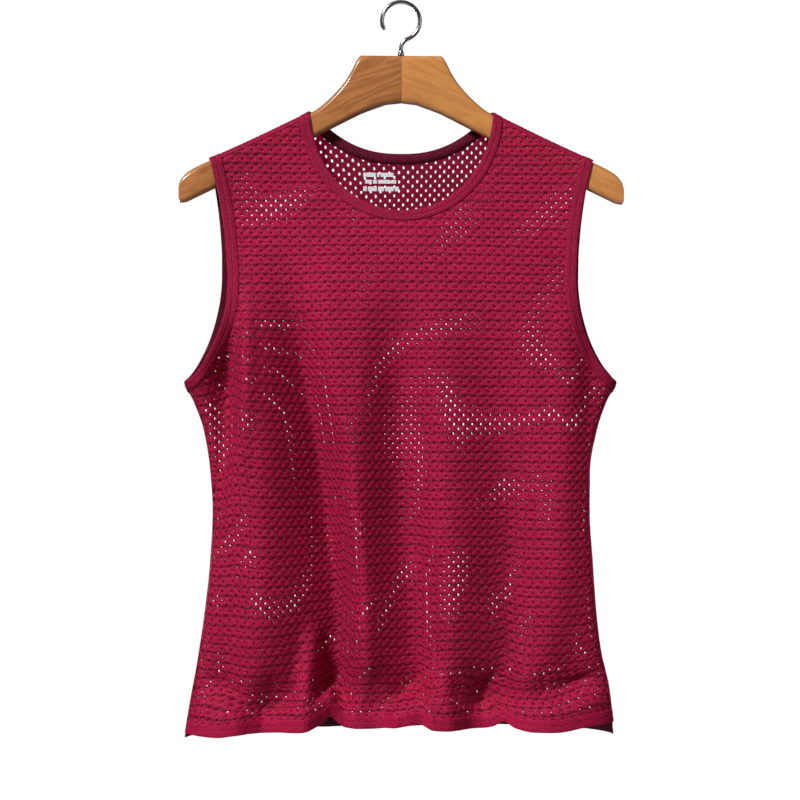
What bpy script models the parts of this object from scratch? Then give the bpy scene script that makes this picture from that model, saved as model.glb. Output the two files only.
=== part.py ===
"""A sleeveless mesh tank top on a contoured wooden hanger, as a Blender 4.5 script.

Metres, +Z up. The front of the garment faces -Y and its right in the picture is +X. The origin is
the point inside the hook where a rail bears, straight above the middle of the garment.

Each panel is one smooth sheet. Its cloth coordinates are `across`, measured along the cloth from
the middle of the panel, and `drop`, measured down the cloth from the height of the neck point.
"""

import math
from collections import namedtuple

import bmesh
import bpy
import numpy as np
from mathutils import Vector

# ------------------------------------------------------------------ driving sizes
SEAM_GAP = 0.0003
CLOTH_WALL = 0.0012
BAND_WALL = 0.0022

WOOD_TOP = -0.052
ARM_HALF_THICK = 0.0065
ARM_SWEEP = 0.022
HANGER_HALF = 0.221
WOOD_ROUND = 0.0062
WOOD_CLEAR = 0.0006
WOOD_RINGS = 22

WIRE_RADIUS = 0.002
HOOK_RADIUS = 0.019
HOOK_FOOT_ANGLE = math.radians(68)
HOOK_TIP_ANGLE = math.radians(205)
COLLAR_RADIUS = 0.0034
COLLAR_HEIGHT = 0.005

NECK_HALF = 0.0915
FRONT_NECK_DROP = 0.104
BACK_NECK_DROP = 0.044
BACK_NECK_POWER = 2.4
SHOULDER_HALF = 0.191
UNDERARM_DROP = 0.272
CLOTH_LENGTH = 0.620
NECK_BAND = 0.011
ARM_BAND = 0.012
HEM_BAND = 0.013

# The sheet turns over the arm of the hanger in a half circle of this radius.
WRAP_RADIUS = ARM_HALF_THICK + WOOD_CLEAR + CLOTH_WALL / 2
WRAP_LENGTH = WRAP_RADIUS * math.pi / 2
# Inside the neck point, the binding still follows the rising wood this far.
NECK_HUG = 0.012
# Below the shoulder, the sheet takes this far to reach the open shape of the body.
SHOULDER_BLEND = 0.215
# Flatness of the body's section: 2 is an ellipse, more is boxier.
SECTION_POWERS = (4.0, 3.6)

# ------------------------------------------------------------------ tables
# The wooden arm, from the joint in the middle to the tip.
Arm = namedtuple("Arm", "x top bottom")
ARM = [
    Arm(0.0000, -0.0520, -0.0995),
    Arm(0.0150, -0.0520, -0.1012),
    Arm(0.0285, -0.0520, -0.1060),
    Arm(0.0400, -0.0520, -0.1105),
    Arm(0.0445, -0.0575, -0.1128),
    Arm(0.0500, -0.0685, -0.1155),
    Arm(0.0560, -0.0780, -0.1186),
    Arm(0.0640, -0.0878, -0.1227),
    Arm(0.0730, -0.0970, -0.1275),
    Arm(0.0830, -0.1055, -0.1329),
    Arm(0.0920, -0.1109, -0.1377),
    Arm(0.1200, -0.1252, -0.1525),
    Arm(0.1500, -0.1401, -0.1683),
    Arm(0.1780, -0.1534, -0.1830),
    Arm(0.1950, -0.1614, -0.1917),
    Arm(0.2060, -0.1672, -0.1972),
    Arm(0.2140, -0.1728, -0.2010),
    Arm(0.2190, -0.1795, -0.2016),
    Arm(0.2210, -0.1860, -0.1975),
]

# The body of the garment: its sides, and how deep the front, the back and the side seams lie.
Section = namedtuple("Section", "drop left right front back seam_left seam_right")
SECTIONS = [
    Section(0.000, -0.2160, 0.2140, -0.026, 0.014, -0.008, -0.008),
    Section(0.100, -0.2160, 0.2140, -0.034, 0.020, -0.007, -0.010),
    Section(0.200, -0.2160, 0.2140, -0.041, 0.026, -0.005, -0.014),
    Section(0.272, -0.2150, 0.2130, -0.045, 0.030, -0.004, -0.019),
    Section(0.292, -0.2060, 0.2030, -0.046, 0.031, -0.004, -0.022),
    Section(0.320, -0.1960, 0.1930, -0.047, 0.031, -0.003, -0.026),
    Section(0.360, -0.1895, 0.1855, -0.048, 0.032, -0.003, -0.030),
    Section(0.400, -0.1870, 0.1850, -0.048, 0.033, -0.002, -0.031),
    Section(0.450, -0.1895, 0.1880, -0.048, 0.034, -0.002, -0.031),
    Section(0.500, -0.1950, 0.1920, -0.046, 0.035, -0.001, -0.027),
    Section(0.550, -0.2025, 0.1990, -0.038, 0.035, 0.000, -0.019),
    Section(0.585, -0.2090, 0.2070, -0.029, 0.033, 0.000, -0.013),
    Section(0.620, -0.2150, 0.2110, -0.027, 0.032, 0.000, -0.016),
]

# The folds. Each runs down the cloth along its own rows: where its bottom line is, how deep it is
# and how far it reaches to either side. A negative depth is a ridge.
Fold = namedtuple("Fold", "drop x depth left right crease")
FRONT_FOLDS = {
    "underarm_left": [
        Fold(0.170, -0.162, 0.000, 0.014, 0.014, 0.0),
        Fold(0.215, -0.167, 0.006, 0.014, 0.014, 0.0),
        Fold(0.240, -0.170, 0.014, 0.024, 0.015, 0.1),
        Fold(0.268, -0.172, 0.030, 0.038, 0.017, 0.2),
        Fold(0.300, -0.175, 0.044, 0.048, 0.020, 0.2),
        Fold(0.340, -0.179, 0.046, 0.038, 0.020, 0.2),
        Fold(0.380, -0.184, 0.050, 0.024, 0.017, 0.2),
        Fold(0.420, -0.189, 0.030, 0.020, 0.016, 0.2),
        Fold(0.465, -0.195, 0.000, 0.016, 0.014, 0.1),
    ],
    "valley_left": [
        Fold(0.130, -0.116, 0.000, 0.040, 0.040, 0.0),
        Fold(0.190, -0.110, 0.010, 0.040, 0.036, 0.2),
        Fold(0.240, -0.102, 0.026, 0.044, 0.032, 0.5),
        Fold(0.285, -0.094, 0.038, 0.052, 0.030, 0.7),
        Fold(0.335, -0.084, 0.046, 0.060, 0.030, 0.7),
        Fold(0.385, -0.077, 0.052, 0.068, 0.030, 0.7),
        Fold(0.440, -0.070, 0.055, 0.074, 0.030, 0.7),
        Fold(0.500, -0.064, 0.053, 0.080, 0.028, 0.7),
        Fold(0.560, -0.063, 0.047, 0.081, 0.028, 0.6),
        Fold(0.620, -0.067, 0.040, 0.078, 0.022, 0.7),
    ],
    "valley_middle": [
        Fold(0.160, -0.012, 0.000, 0.036, 0.050, 0.0),
        Fold(0.230, -0.008, 0.010, 0.038, 0.044, 0.1),
        Fold(0.285, -0.004, 0.021, 0.044, 0.042, 0.2),
        Fold(0.335, -0.001, 0.028, 0.050, 0.042, 0.2),
        Fold(0.400, 0.001, 0.032, 0.052, 0.042, 0.2),
        Fold(0.460, 0.006, 0.033, 0.056, 0.040, 0.2),
        Fold(0.520, 0.010, 0.031, 0.060, 0.040, 0.2),
        Fold(0.620, 0.014, 0.024, 0.060, 0.034, 0.2),
    ],
    "valley_right": [
        Fold(0.160, 0.084, 0.000, 0.050, 0.050, 0.0),
        Fold(0.280, 0.094, 0.009, 0.052, 0.050, 0.0),
        Fold(0.380, 0.103, 0.017, 0.058, 0.046, 0.0),
        Fold(0.460, 0.107, 0.022, 0.062, 0.044, 0.1),
        Fold(0.520, 0.106, 0.020, 0.064, 0.044, 0.1),
        Fold(0.560, 0.098, 0.018, 0.056, 0.040, 0.2),
        Fold(0.620, 0.088, 0.014, 0.046, 0.034, 0.2),
    ],
    "underarm_right": [
        Fold(0.170, 0.180, 0.000, 0.018, 0.024, 0.0),
        Fold(0.230, 0.184, 0.003, 0.018, 0.024, 0.1),
        Fold(0.290, 0.188, 0.007, 0.016, 0.018, 0.3),
        Fold(0.350, 0.186, 0.005, 0.014, 0.014, 0.3),
        Fold(0.430, 0.182, 0.000, 0.014, 0.012, 0.2),
    ],
    "strip_right": [
        Fold(0.165, 0.160, 0.000, 0.024, 0.030, 0.0),
        Fold(0.215, 0.162, -0.006, 0.024, 0.030, 0.0),
        Fold(0.400, 0.162, -0.008, 0.026, 0.030, 0.0),
        Fold(0.490, 0.161, -0.004, 0.026, 0.030, 0.0),
        Fold(0.540, 0.160, 0.000, 0.026, 0.030, 0.0),
    ],
    "ridge_left": [
        Fold(0.170, -0.155, 0.000, 0.010, 0.014, 0.0),
        Fold(0.215, -0.155, -0.006, 0.011, 0.014, 0.0),
        Fold(0.290, -0.157, -0.008, 0.012, 0.016, 0.0),
        Fold(0.350, -0.160, -0.005, 0.012, 0.016, 0.0),
        Fold(0.420, -0.164, 0.000, 0.012, 0.016, 0.0),
    ],
    "dent_left_edge": [
        Fold(0.400, -0.170, 0.000, 0.028, 0.018, 0.0),
        Fold(0.440, -0.170, 0.006, 0.030, 0.018, 0.0),
        Fold(0.480, -0.171, 0.009, 0.032, 0.020, 0.0),
        Fold(0.530, -0.174, 0.013, 0.034, 0.024, 0.0),
        Fold(0.575, -0.178, 0.015, 0.034, 0.026, 0.0),
        Fold(0.620, -0.180, 0.010, 0.034, 0.026, 0.0),
    ],
    "dent_right_edge": [
        Fold(0.480, 0.166, 0.000, 0.034, 0.026, 0.0),
        Fold(0.545, 0.172, 0.007, 0.034, 0.026, 0.0),
        Fold(0.590, 0.178, 0.012, 0.034, 0.024, 0.0),
        Fold(0.620, 0.180, 0.008, 0.034, 0.024, 0.0),
    ],
    "pocket_left": [
        Fold(0.540, -0.130, 0.000, 0.026, 0.022, 0.0),
        Fold(0.575, -0.132, 0.008, 0.026, 0.022, 0.0),
        Fold(0.600, -0.134, 0.012, 0.024, 0.022, 0.0),
        Fold(0.620, -0.136, 0.008, 0.024, 0.020, 0.0),
    ],
    "pocket_middle": [
        Fold(0.550, -0.037, 0.000, 0.024, 0.026, 0.0),
        Fold(0.580, -0.037, 0.007, 0.024, 0.026, 0.0),
        Fold(0.605, -0.035, 0.010, 0.022, 0.024, 0.0),
        Fold(0.620, -0.035, 0.006, 0.022, 0.024, 0.0),
    ],
    "pocket_right": [
        Fold(0.545, 0.075, 0.000, 0.024, 0.022, 0.0),
        Fold(0.578, 0.078, 0.008, 0.024, 0.022, 0.0),
        Fold(0.603, 0.079, 0.011, 0.022, 0.022, 0.0),
        Fold(0.620, 0.079, 0.007, 0.022, 0.020, 0.0),
    ],
    "ridge_in_left_valley": [
        Fold(0.500, -0.086, 0.000, 0.014, 0.012, 0.0),
        Fold(0.535, -0.089, -0.012, 0.018, 0.014, 0.0),
        Fold(0.570, -0.092, -0.020, 0.022, 0.016, 0.0),
        Fold(0.620, -0.094, -0.020, 0.024, 0.018, 0.0),
    ],
    "bump_right_of_middle": [
        Fold(0.540, 0.035, 0.000, 0.014, 0.016, 0.0),
        Fold(0.580, 0.036, -0.012, 0.018, 0.020, 0.0),
        Fold(0.620, 0.037, -0.010, 0.018, 0.022, 0.0),
    ],
    "ridge_right": [
        Fold(0.500, 0.122, 0.000, 0.018, 0.022, 0.0),
        Fold(0.560, 0.121, -0.008, 0.020, 0.022, 0.0),
        Fold(0.620, 0.120, 0.000, 0.018, 0.020, 0.0),
    ],
}
BACK_FOLDS = {
    "valley_left": [
        Fold(0.240, -0.098, 0.000, 0.038, 0.030, 0.1),
        Fold(0.380, -0.090, 0.012, 0.044, 0.034, 0.1),
        Fold(0.520, -0.080, 0.018, 0.050, 0.034, 0.1),
        Fold(0.620, -0.076, 0.021, 0.046, 0.026, 0.1),
    ],
    "valley_middle": [
        Fold(0.140, 0.008, 0.000, 0.040, 0.040, 0.1),
        Fold(0.300, 0.004, 0.007, 0.040, 0.044, 0.1),
        Fold(0.480, -0.004, 0.013, 0.038, 0.046, 0.1),
        Fold(0.620, 0.004, 0.017, 0.030, 0.040, 0.1),
    ],
    "valley_right": [
        Fold(0.210, 0.104, 0.000, 0.030, 0.040, 0.1),
        Fold(0.360, 0.096, 0.013, 0.032, 0.046, 0.1),
        Fold(0.500, 0.088, 0.020, 0.034, 0.052, 0.1),
        Fold(0.620, 0.084, 0.022, 0.026, 0.048, 0.1),
    ],
    "underarm_left": [
        Fold(0.180, -0.168, 0.000, 0.030, 0.016, 0.1),
        Fold(0.275, -0.172, 0.012, 0.034, 0.016, 0.1),
        Fold(0.400, -0.176, 0.000, 0.020, 0.016, 0.1),
    ],
    "underarm_right": [
        Fold(0.180, 0.166, 0.000, 0.016, 0.030, 0.1),
        Fold(0.270, 0.170, 0.013, 0.016, 0.034, 0.1),
        Fold(0.410, 0.174, 0.000, 0.016, 0.020, 0.1),
    ],
}

# The last stretch above the hem swings out to the stiffer hem band. A row says where along the
# hem, at which drop that begins, how much height it takes, how deep the hem lies behind its own
# even line there, and how far the hem is lifted.
HemRow = namedtuple("HemRow", "x start ledge depth lift")
FRONT_HEM = [
    HemRow(-0.215, 0.562, 0.044, 0.000, -0.002),
    HemRow(-0.185, 0.562, 0.044, 0.000, -0.003),
    HemRow(-0.165, 0.572, 0.034, 0.005, -0.001),
    HemRow(-0.150, 0.584, 0.026, 0.016, 0.000),
    HemRow(-0.138, 0.590, 0.020, 0.024, 0.000),
    HemRow(-0.124, 0.586, 0.022, 0.019, 0.001),
    HemRow(-0.110, 0.570, 0.036, 0.007, 0.002),
    HemRow(-0.098, 0.548, 0.058, 0.001, 0.003),
    HemRow(-0.086, 0.560, 0.046, 0.010, 0.007),
    HemRow(-0.078, 0.572, 0.034, 0.019, 0.011),
    HemRow(-0.0715, 0.576, 0.030, 0.026, 0.016),
    HemRow(-0.065, 0.580, 0.027, 0.030, 0.010),
    HemRow(-0.056, 0.586, 0.024, 0.032, 0.004),
    HemRow(-0.044, 0.590, 0.020, 0.027, 0.003),
    HemRow(-0.030, 0.592, 0.020, 0.028, 0.003),
    HemRow(-0.019, 0.590, 0.022, 0.026, 0.004),
    HemRow(-0.006, 0.584, 0.026, 0.009, 0.006),
    HemRow(0.006, 0.578, 0.030, 0.009, 0.008),
    HemRow(0.017, 0.568, 0.040, 0.011, 0.009),
    HemRow(0.029, 0.550, 0.056, 0.003, 0.004),
    HemRow(0.043, 0.556, 0.052, 0.003, 0.003),
    HemRow(0.056, 0.574, 0.034, 0.012, 0.003),
    HemRow(0.070, 0.590, 0.020, 0.026, 0.003),
    HemRow(0.080, 0.592, 0.018, 0.029, 0.003),
    HemRow(0.091, 0.586, 0.024, 0.026, 0.005),
    HemRow(0.101, 0.580, 0.030, 0.023, 0.010),
    HemRow(0.112, 0.578, 0.029, 0.015, 0.004),
    HemRow(0.130, 0.574, 0.032, 0.004, 0.001),
    HemRow(0.150, 0.572, 0.032, 0.000, 0.001),
    HemRow(0.185, 0.574, 0.030, 0.000, 0.006),
    HemRow(0.211, 0.572, 0.034, 0.000, 0.008),
]
BACK_HEM = [
    HemRow(-0.215, 0.560, 0.040, 0.000, -0.007),
    HemRow(-0.140, 0.566, 0.036, 0.000, -0.003),
    HemRow(-0.096, 0.574, 0.030, 0.008, -0.002),
    HemRow(-0.078, 0.578, 0.026, 0.016, -0.002),
    HemRow(-0.058, 0.574, 0.030, 0.004, -0.003),
    HemRow(-0.030, 0.570, 0.032, 0.000, -0.003),
    HemRow(0.004, 0.574, 0.030, 0.008, -0.003),
    HemRow(0.036, 0.568, 0.034, 0.000, -0.003),
    HemRow(0.068, 0.576, 0.028, 0.010, -0.002),
    HemRow(0.086, 0.578, 0.026, 0.016, -0.001),
    HemRow(0.106, 0.574, 0.030, 0.004, -0.002),
    HemRow(0.160, 0.568, 0.034, 0.000, -0.004),
    HemRow(0.211, 0.562, 0.038, 0.000, -0.004),
]
# The even line that the hem keeps to, in front of the open shape of the body.
HEM_FORWARD = 0.020

# The finished edge of an armhole, from the shoulder seam down to the side seam.
Edge = namedtuple("Edge", "drop x")
FRONT_ARMHOLE = [
    Edge(0.070, 0.1860),
    Edge(0.090, 0.1815),
    Edge(0.110, 0.1780),
    Edge(0.130, 0.1755),
    Edge(0.150, 0.1738),
    Edge(0.172, 0.1727),
    Edge(0.192, 0.1737),
    Edge(0.210, 0.1768),
    Edge(0.228, 0.1822),
    Edge(0.243, 0.1888),
    Edge(0.256, 0.1965),
    Edge(0.266, 0.2050),
]
BACK_ARMHOLE = [
    Edge(0.070, 0.1872),
    Edge(0.090, 0.1838),
    Edge(0.110, 0.1812),
    Edge(0.130, 0.1795),
    Edge(0.150, 0.1786),
    Edge(0.172, 0.1787),
    Edge(0.192, 0.1805),
    Edge(0.210, 0.1842),
    Edge(0.228, 0.1896),
    Edge(0.243, 0.1958),
    Edge(0.256, 0.2026),
    Edge(0.266, 0.2093),
]

# ------------------------------------------------------------------ fineness of the solids
SHEET_STEP = 0.002
SHEET_SAMPLES = 361
# How far below the top of the arm the first rows of a panel lie; the first is the shoulder seam,
# which lies in front of the arm, so the back panel comes over the top to meet it.
SEAM_FORWARD = 0.008
SHOULDER_ROWS = {
    "front": (SEAM_FORWARD, 0.010, 0.0135, 0.020),
    "back": (-SEAM_FORWARD, -0.006, -0.003, 0.0, 0.0035, 0.0075, 0.012, 0.020),
}
NECK_STATIONS = {"front": 11, "back": 6}
ARM_STATIONS = {"front": 18, "back": 17}
# Stations crowd together towards the end of an armhole, where the cloth turns most.
ARM_CROWD = 1.5
CROWD_REACH = 0.05
BODY_ROWS = {"front": 15, "back": 18}
HEM_ROWS = {"front": 8, "back": 4}
HEM_ZONE = 0.070
# The columns of a half panel lie closer together at the puckers of the hem.
Grading = namedtuple("Grading", "side mirror columns line gain reach")
GRADINGS = [
    Grading("front", -1, 26, 0.33, 1.6, 0.10),
    Grading("front", 1, 24, 0.47, 1.8, 0.10),
    Grading("back", -1, 16, 0.36, 1.0, 0.14),
    Grading("back", 1, 16, 0.40, 1.0, 0.14),
]

# ------------------------------------------------------------------ colours of the materials
WINE = (0.36, 0.012, 0.060)
WINE_BAND = (0.42, 0.012, 0.066)
WOOD_LEFT = (0.50, 0.235, 0.085)
WOOD_RIGHT = (0.62, 0.31, 0.12)
STEEL = (0.55, 0.55, 0.57)


# ------------------------------------------------------------------ interpolation
def column(rows, name):
    return np.array([getattr(row, name) for row in rows])


def smooth_step(value, low, high):
    part = np.clip((value - low) / (high - low), 0.0, 1.0)
    return part * part * (3 - 2 * part)


def through(xs, ys, at, level_ends=False):
    """A smooth curve through the points that never overshoots them."""
    xs, ys, at = np.asarray(xs, float), np.asarray(ys, float), np.asarray(at, float)
    chords = np.diff(ys) / np.diff(xs)
    before, after = chords[:-1], chords[1:]
    total = before + after
    level = (before * after <= 0) | (np.abs(total) < 1e-12)
    inner = np.where(level, 0.0, 2 * before * after / np.where(level, 1.0, total))
    first, last = (0.0, 0.0) if level_ends else (chords[0], chords[-1])
    slopes = np.concatenate([[first], inner, [last]])
    at = np.clip(at, xs[0], xs[-1])
    i = np.clip(np.searchsorted(xs, at) - 1, 0, len(xs) - 2)
    width = xs[i + 1] - xs[i]
    t = (at - xs[i]) / width
    return (
        ys[i] * (1 + 2 * t) * (1 - t) ** 2
        + ys[i + 1] * t * t * (3 - 2 * t)
        + width * t * (1 - t) * (slopes[i] * (1 - t) - slopes[i + 1] * t)
    )


def of_table(rows, name, at, key="drop"):
    return through(column(rows, key), column(rows, name), at, name == "depth" and key == "drop")


# ------------------------------------------------------------------ the sheets of cloth
def arm_depth(x):
    """Depth of the middle of the wooden arm, whose tips come forward."""
    return -ARM_SWEEP * (np.abs(x) / HANGER_HALF) ** 2


def shoulder_height(x):
    """Height of the cloth where it crosses the top of the arm."""
    reach = np.clip(np.abs(x), NECK_HALF - NECK_HUG, HANGER_HALF)
    return of_table(ARM, "top", reach, "x") + WOOD_CLEAR + CLOTH_WALL / 2


NECK_POINT = float(shoulder_height(NECK_HALF))


def shoulder_drop(x):
    return NECK_POINT - shoulder_height(x)


def notch(offset, left, right, crease):
    """One fold across the cloth: 1 on its line, 0 beyond its reach, sharp where crease is 1."""
    away = np.clip(np.abs(offset) / np.where(offset < 0, left, right), 0, 1)
    pointed = (np.sqrt(away**2 + 0.0025) - 0.05) / (math.sqrt(1.0025) - 0.05)
    rounded = np.cos(away * math.pi / 2) ** 2
    return rounded + ((1 - pointed) ** 1.25 - rounded) * crease


def fold_depth(folds, x, drop):
    total = np.zeros_like(x)
    for rows in folds.values():
        first, last = rows[0].drop, rows[-1].drop
        if not first < drop <= last + SHEET_STEP:
            continue
        line, depth, left, right, crease = (
            float(of_table(rows, name, drop)) for name in Fold._fields[1:]
        )
        total += depth * notch(x - line, left, right, crease)
    return total


def sheet_rows(side):
    """Points (x, y) of the panel's section at each drop, in one array for x and one for y."""
    facing = -1 if side == "front" else 1
    folds = FRONT_FOLDS if side == "front" else BACK_FOLDS
    hem = FRONT_HEM if side == "front" else BACK_HEM
    drops = np.arange(0.0, CLOTH_LENGTH + SHEET_STEP / 2, SHEET_STEP)
    spread = np.sin(np.linspace(-1, 1, SHEET_SAMPLES) * math.pi / 2)
    xs, ys = [], []
    for drop in drops:
        names = ("left", "right", side, "seam_left", "seam_right")
        left, right, middle, *seams = (float(of_table(SECTIONS, name, drop)) for name in names)
        x = (left + right) / 2 + spread * (right - left) / 2
        crown = np.sqrt(1 - np.abs(spread) ** np.where(spread < 0, *SECTION_POWERS))
        seam = np.where(spread < 0, *seams)
        even = seam + (middle - seam) * crown
        inward = 1 - np.abs(spread) ** 7
        folded = even - facing * fold_depth(folds, x, drop) * inward
        swung = 1 - np.abs(spread) ** 10
        hem_line = even + facing * swung * (HEM_FORWARD - of_table(hem, "depth", x, "x"))
        start = of_table(hem, "start", x, "x")
        swing = smooth_step(drop, start, start + of_table(hem, "ledge", x, "x"))
        body = folded + (hem_line - folded) * swing
        below = np.maximum(drop - shoulder_drop(x), 0)
        turn = np.sin(np.minimum(below / WRAP_RADIUS, math.pi / 2))
        over_arm = arm_depth(x) + facing * WRAP_RADIUS * turn
        near = [shoulder_drop(x + shift) for shift in (-0.045, -0.022, 0.0, 0.022, 0.045)]
        soft = smooth_step(drop - np.mean(near, axis=0), WRAP_LENGTH, SHOULDER_BLEND)
        hanging = soft * smooth_step(below, WRAP_LENGTH, WRAP_LENGTH + 0.03)
        xs.append(x)
        ys.append(over_arm + (body - arm_depth(x) - facing * WRAP_RADIUS) * hanging)
    return drops, np.array(xs), np.array(ys)


class Sheet:
    """One panel of cloth as a smooth surface over its cloth coordinates (across, drop)."""

    def __init__(self, side):
        self.side = side
        self.drops, xs, ys = sheet_rows(side)
        lengths = np.hypot(np.diff(xs, axis=1), np.diff(ys, axis=1))
        along = np.concatenate([np.zeros((len(xs), 1)), np.cumsum(lengths, axis=1)], axis=1)
        middle = [np.interp(0.0, x, s) for x, s in zip(xs, along)]
        along -= np.array(middle)[:, None]
        self.row_x, self.row_along = xs, along
        self.left, self.right = along[:, 0], along[:, -1]
        reach = max(-self.left.min(), self.right.max())
        count = 2 * int(math.ceil(reach / SHEET_STEP)) + 1
        self.across = np.linspace(-reach, reach, count)
        x = np.array([np.interp(self.across, s, row) for s, row in zip(along, xs)])
        y = np.array([np.interp(self.across, s, row) for s, row in zip(along, ys)])
        self.points = np.stack([x, y, self.heights(x, y)], axis=-1)

    def heights(self, x, y):
        """Heights that keep the cloth's length down each line, with the hem set to its table."""
        slope = np.gradient(x, SHEET_STEP, axis=0) ** 2 + np.gradient(y, SHEET_STEP, axis=0) ** 2
        fall = np.sqrt(np.clip(1 - slope, 0.05, 1))
        fallen = np.concatenate(
            [np.zeros((1, x.shape[1])), np.cumsum((fall[1:] + fall[:-1]) / 2, axis=0) * SHEET_STEP]
        )
        below = self.drops[:, None] - shoulder_drop(x)
        turn = np.clip(below / WRAP_RADIUS, 0, math.pi / 2)
        z = shoulder_height(x) - WRAP_RADIUS * (1 - np.cos(turn)) - np.minimum(below, 0)
        for i, start in enumerate(np.argmax(below >= WRAP_LENGTH, axis=0)):
            past = below[start, i] - WRAP_LENGTH
            z[start:, i] = z[start, i] - past - (fallen[start:, i] - fallen[start, i])
        even = (NECK_POINT + WRAP_LENGTH - WRAP_RADIUS - self.drops)[:, None]
        near_side = np.maximum(
            self.across / self.right[:, None], self.across / self.left[:, None]
        )
        below_arm = smooth_step(self.drops, UNDERARM_DROP - 0.12, UNDERARM_DROP - 0.01)[:, None]
        sideways = 0.65 + 0.35 * smooth_step(near_side, 0.80, 0.99)
        z += (even - z) * sideways * below_arm
        hem = FRONT_HEM if self.side == "front" else BACK_HEM
        target = even[-1, 0] + of_table(hem, "lift", x[-1], "x")
        return z + (target - z[-1])[None, :] * smooth_step(self.drops, 0.30, CLOTH_LENGTH)[:, None]

    def between_rows(self, value, drop, given, wanted):
        """Reads the wanted coordinate where the given one has this value, at each drop."""
        row = np.clip(np.ravel(drop) / SHEET_STEP, 0, len(self.drops) - 1.001)
        low = np.floor(row).astype(int)
        part = row - low
        values = [
            np.interp(v, given[i], wanted[i]) * (1 - p)
            + np.interp(v, given[i + 1], wanted[i + 1]) * p
            for v, i, p in zip(np.ravel(value), low, part)
        ]
        return np.reshape(values, np.shape(drop))

    def across_at(self, x, drop):
        """The cloth coordinate of points that are at this x."""
        return self.between_rows(x, drop, self.row_x, self.row_along)

    def x_at(self, across, drop):
        return self.between_rows(across, drop, self.row_along, self.row_x)

    def sides_at(self, drop):
        return np.interp(drop, self.drops, self.left), np.interp(drop, self.drops, self.right)

    def at(self, across, drop):
        """Points of the sheet, and the outward normals there."""
        grid = self.points
        col = np.clip((across - self.across[0]) / (self.across[1] - self.across[0]), 0, None)
        col = np.minimum(col, grid.shape[1] - 1.001)
        row = np.clip(drop / SHEET_STEP, 0, grid.shape[0] - 1.001)
        i, j = np.floor(row).astype(int), np.floor(col).astype(int)
        p, q = (row - i)[..., None], (col - j)[..., None]
        a, b, c, d = grid[i, j], grid[i, j + 1], grid[i + 1, j], grid[i + 1, j + 1]
        point = (a * (1 - q) + b * q) * (1 - p) + (c * (1 - q) + d * q) * p
        sideways = (b - a) * (1 - p) + (d - c) * p
        downward = (c - a) * (1 - q) + (d - b) * q
        normal = np.cross(sideways, downward)
        if self.side == "front":
            normal = -normal
        normal /= np.maximum(np.linalg.norm(normal, axis=-1, keepdims=True), 1e-12)
        facing = np.where(normal[..., 1:2] * (-1 if self.side == "front" else 1) < -0.5, -1, 1)
        return point, normal * facing


SHEETS = {side: Sheet(side) for side in ("front", "back")}


# ------------------------------------------------------------------ outlines on the sheets
def along_polyline(points, count):
    """Points at even steps along a polyline of rows (x, drop)."""
    points = np.asarray(points, float)
    length = np.concatenate([[0], np.cumsum(np.hypot(*np.diff(points, axis=0).T))])
    at = np.linspace(0, length[-1], count)
    return np.stack([np.interp(at, length, points[:, k]) for k in (0, 1)], axis=1)


def neck_edge(side, count):
    """The finished neck edge of the right half, from the shoulder seam to the middle."""
    angle = np.linspace(0, math.pi / 2, 60)
    if side == "front":
        x, drop = NECK_HALF * np.cos(angle), FRONT_NECK_DROP * np.sin(angle)
    else:
        x = NECK_HALF * np.cos(angle)
        drop = BACK_NECK_DROP * (1 - (x / NECK_HALF) ** BACK_NECK_POWER)
    return along_polyline(np.stack([x, drop], axis=1), count)


def side_at(mirror, drop):
    """How far the side of the body is from the middle; mirror is -1 at the left, 1 at the right."""
    return np.abs(of_table(SECTIONS, "left" if mirror < 0 else "right", drop))


def arm_edge(side, mirror, count):
    """The finished armhole edge of one half, from the shoulder seam to the side seam."""
    table = FRONT_ARMHOLE if side == "front" else BACK_ARMHOLE
    shoulder = Edge(float(shoulder_drop(SHOULDER_HALF)), SHOULDER_HALF)
    underarm = Edge(UNDERARM_DROP, float(side_at(mirror, UNDERARM_DROP)))
    rows = [shoulder, *table, underarm]
    steps = np.arange(len(rows), dtype=float)
    at = np.linspace(0, len(rows) - 1, 120)
    x = through(steps, column(rows, "x"), at)
    drop = through(steps, column(rows, "drop"), at)
    return along_polyline(np.stack([x, drop], axis=1), count)


def set_in(edge, width, start, end):
    """The edge moved into the panel by width; start and end are its directions at the seams."""
    along = np.gradient(edge, axis=0)
    normal = np.stack([-along[:, 1], along[:, 0]], axis=1)
    normal /= np.linalg.norm(normal, axis=1, keepdims=True)
    if normal[len(normal) // 2] @ np.asarray(start) < 0:
        normal = -normal
    part = np.linspace(0, 1, len(edge))[:, None]
    at_start = 1 - smooth_step(part, 0.0, 0.16)
    at_end = smooth_step(part, 0.84, 1.0)
    lean = normal * (1 - at_start) + np.asarray(start) * at_start
    lean = lean * (1 - at_end) + np.asarray(end) * at_end
    return edge + width * lean


def seam_direction(x, sign):
    """Unit step along the shoulder seam, away from the neck if sign is 1."""
    rise = float(shoulder_drop(x + 0.002) - shoulder_drop(x)) / 0.002
    step = np.array([1.0, rise]) * sign
    return step / np.linalg.norm(step)


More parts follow.
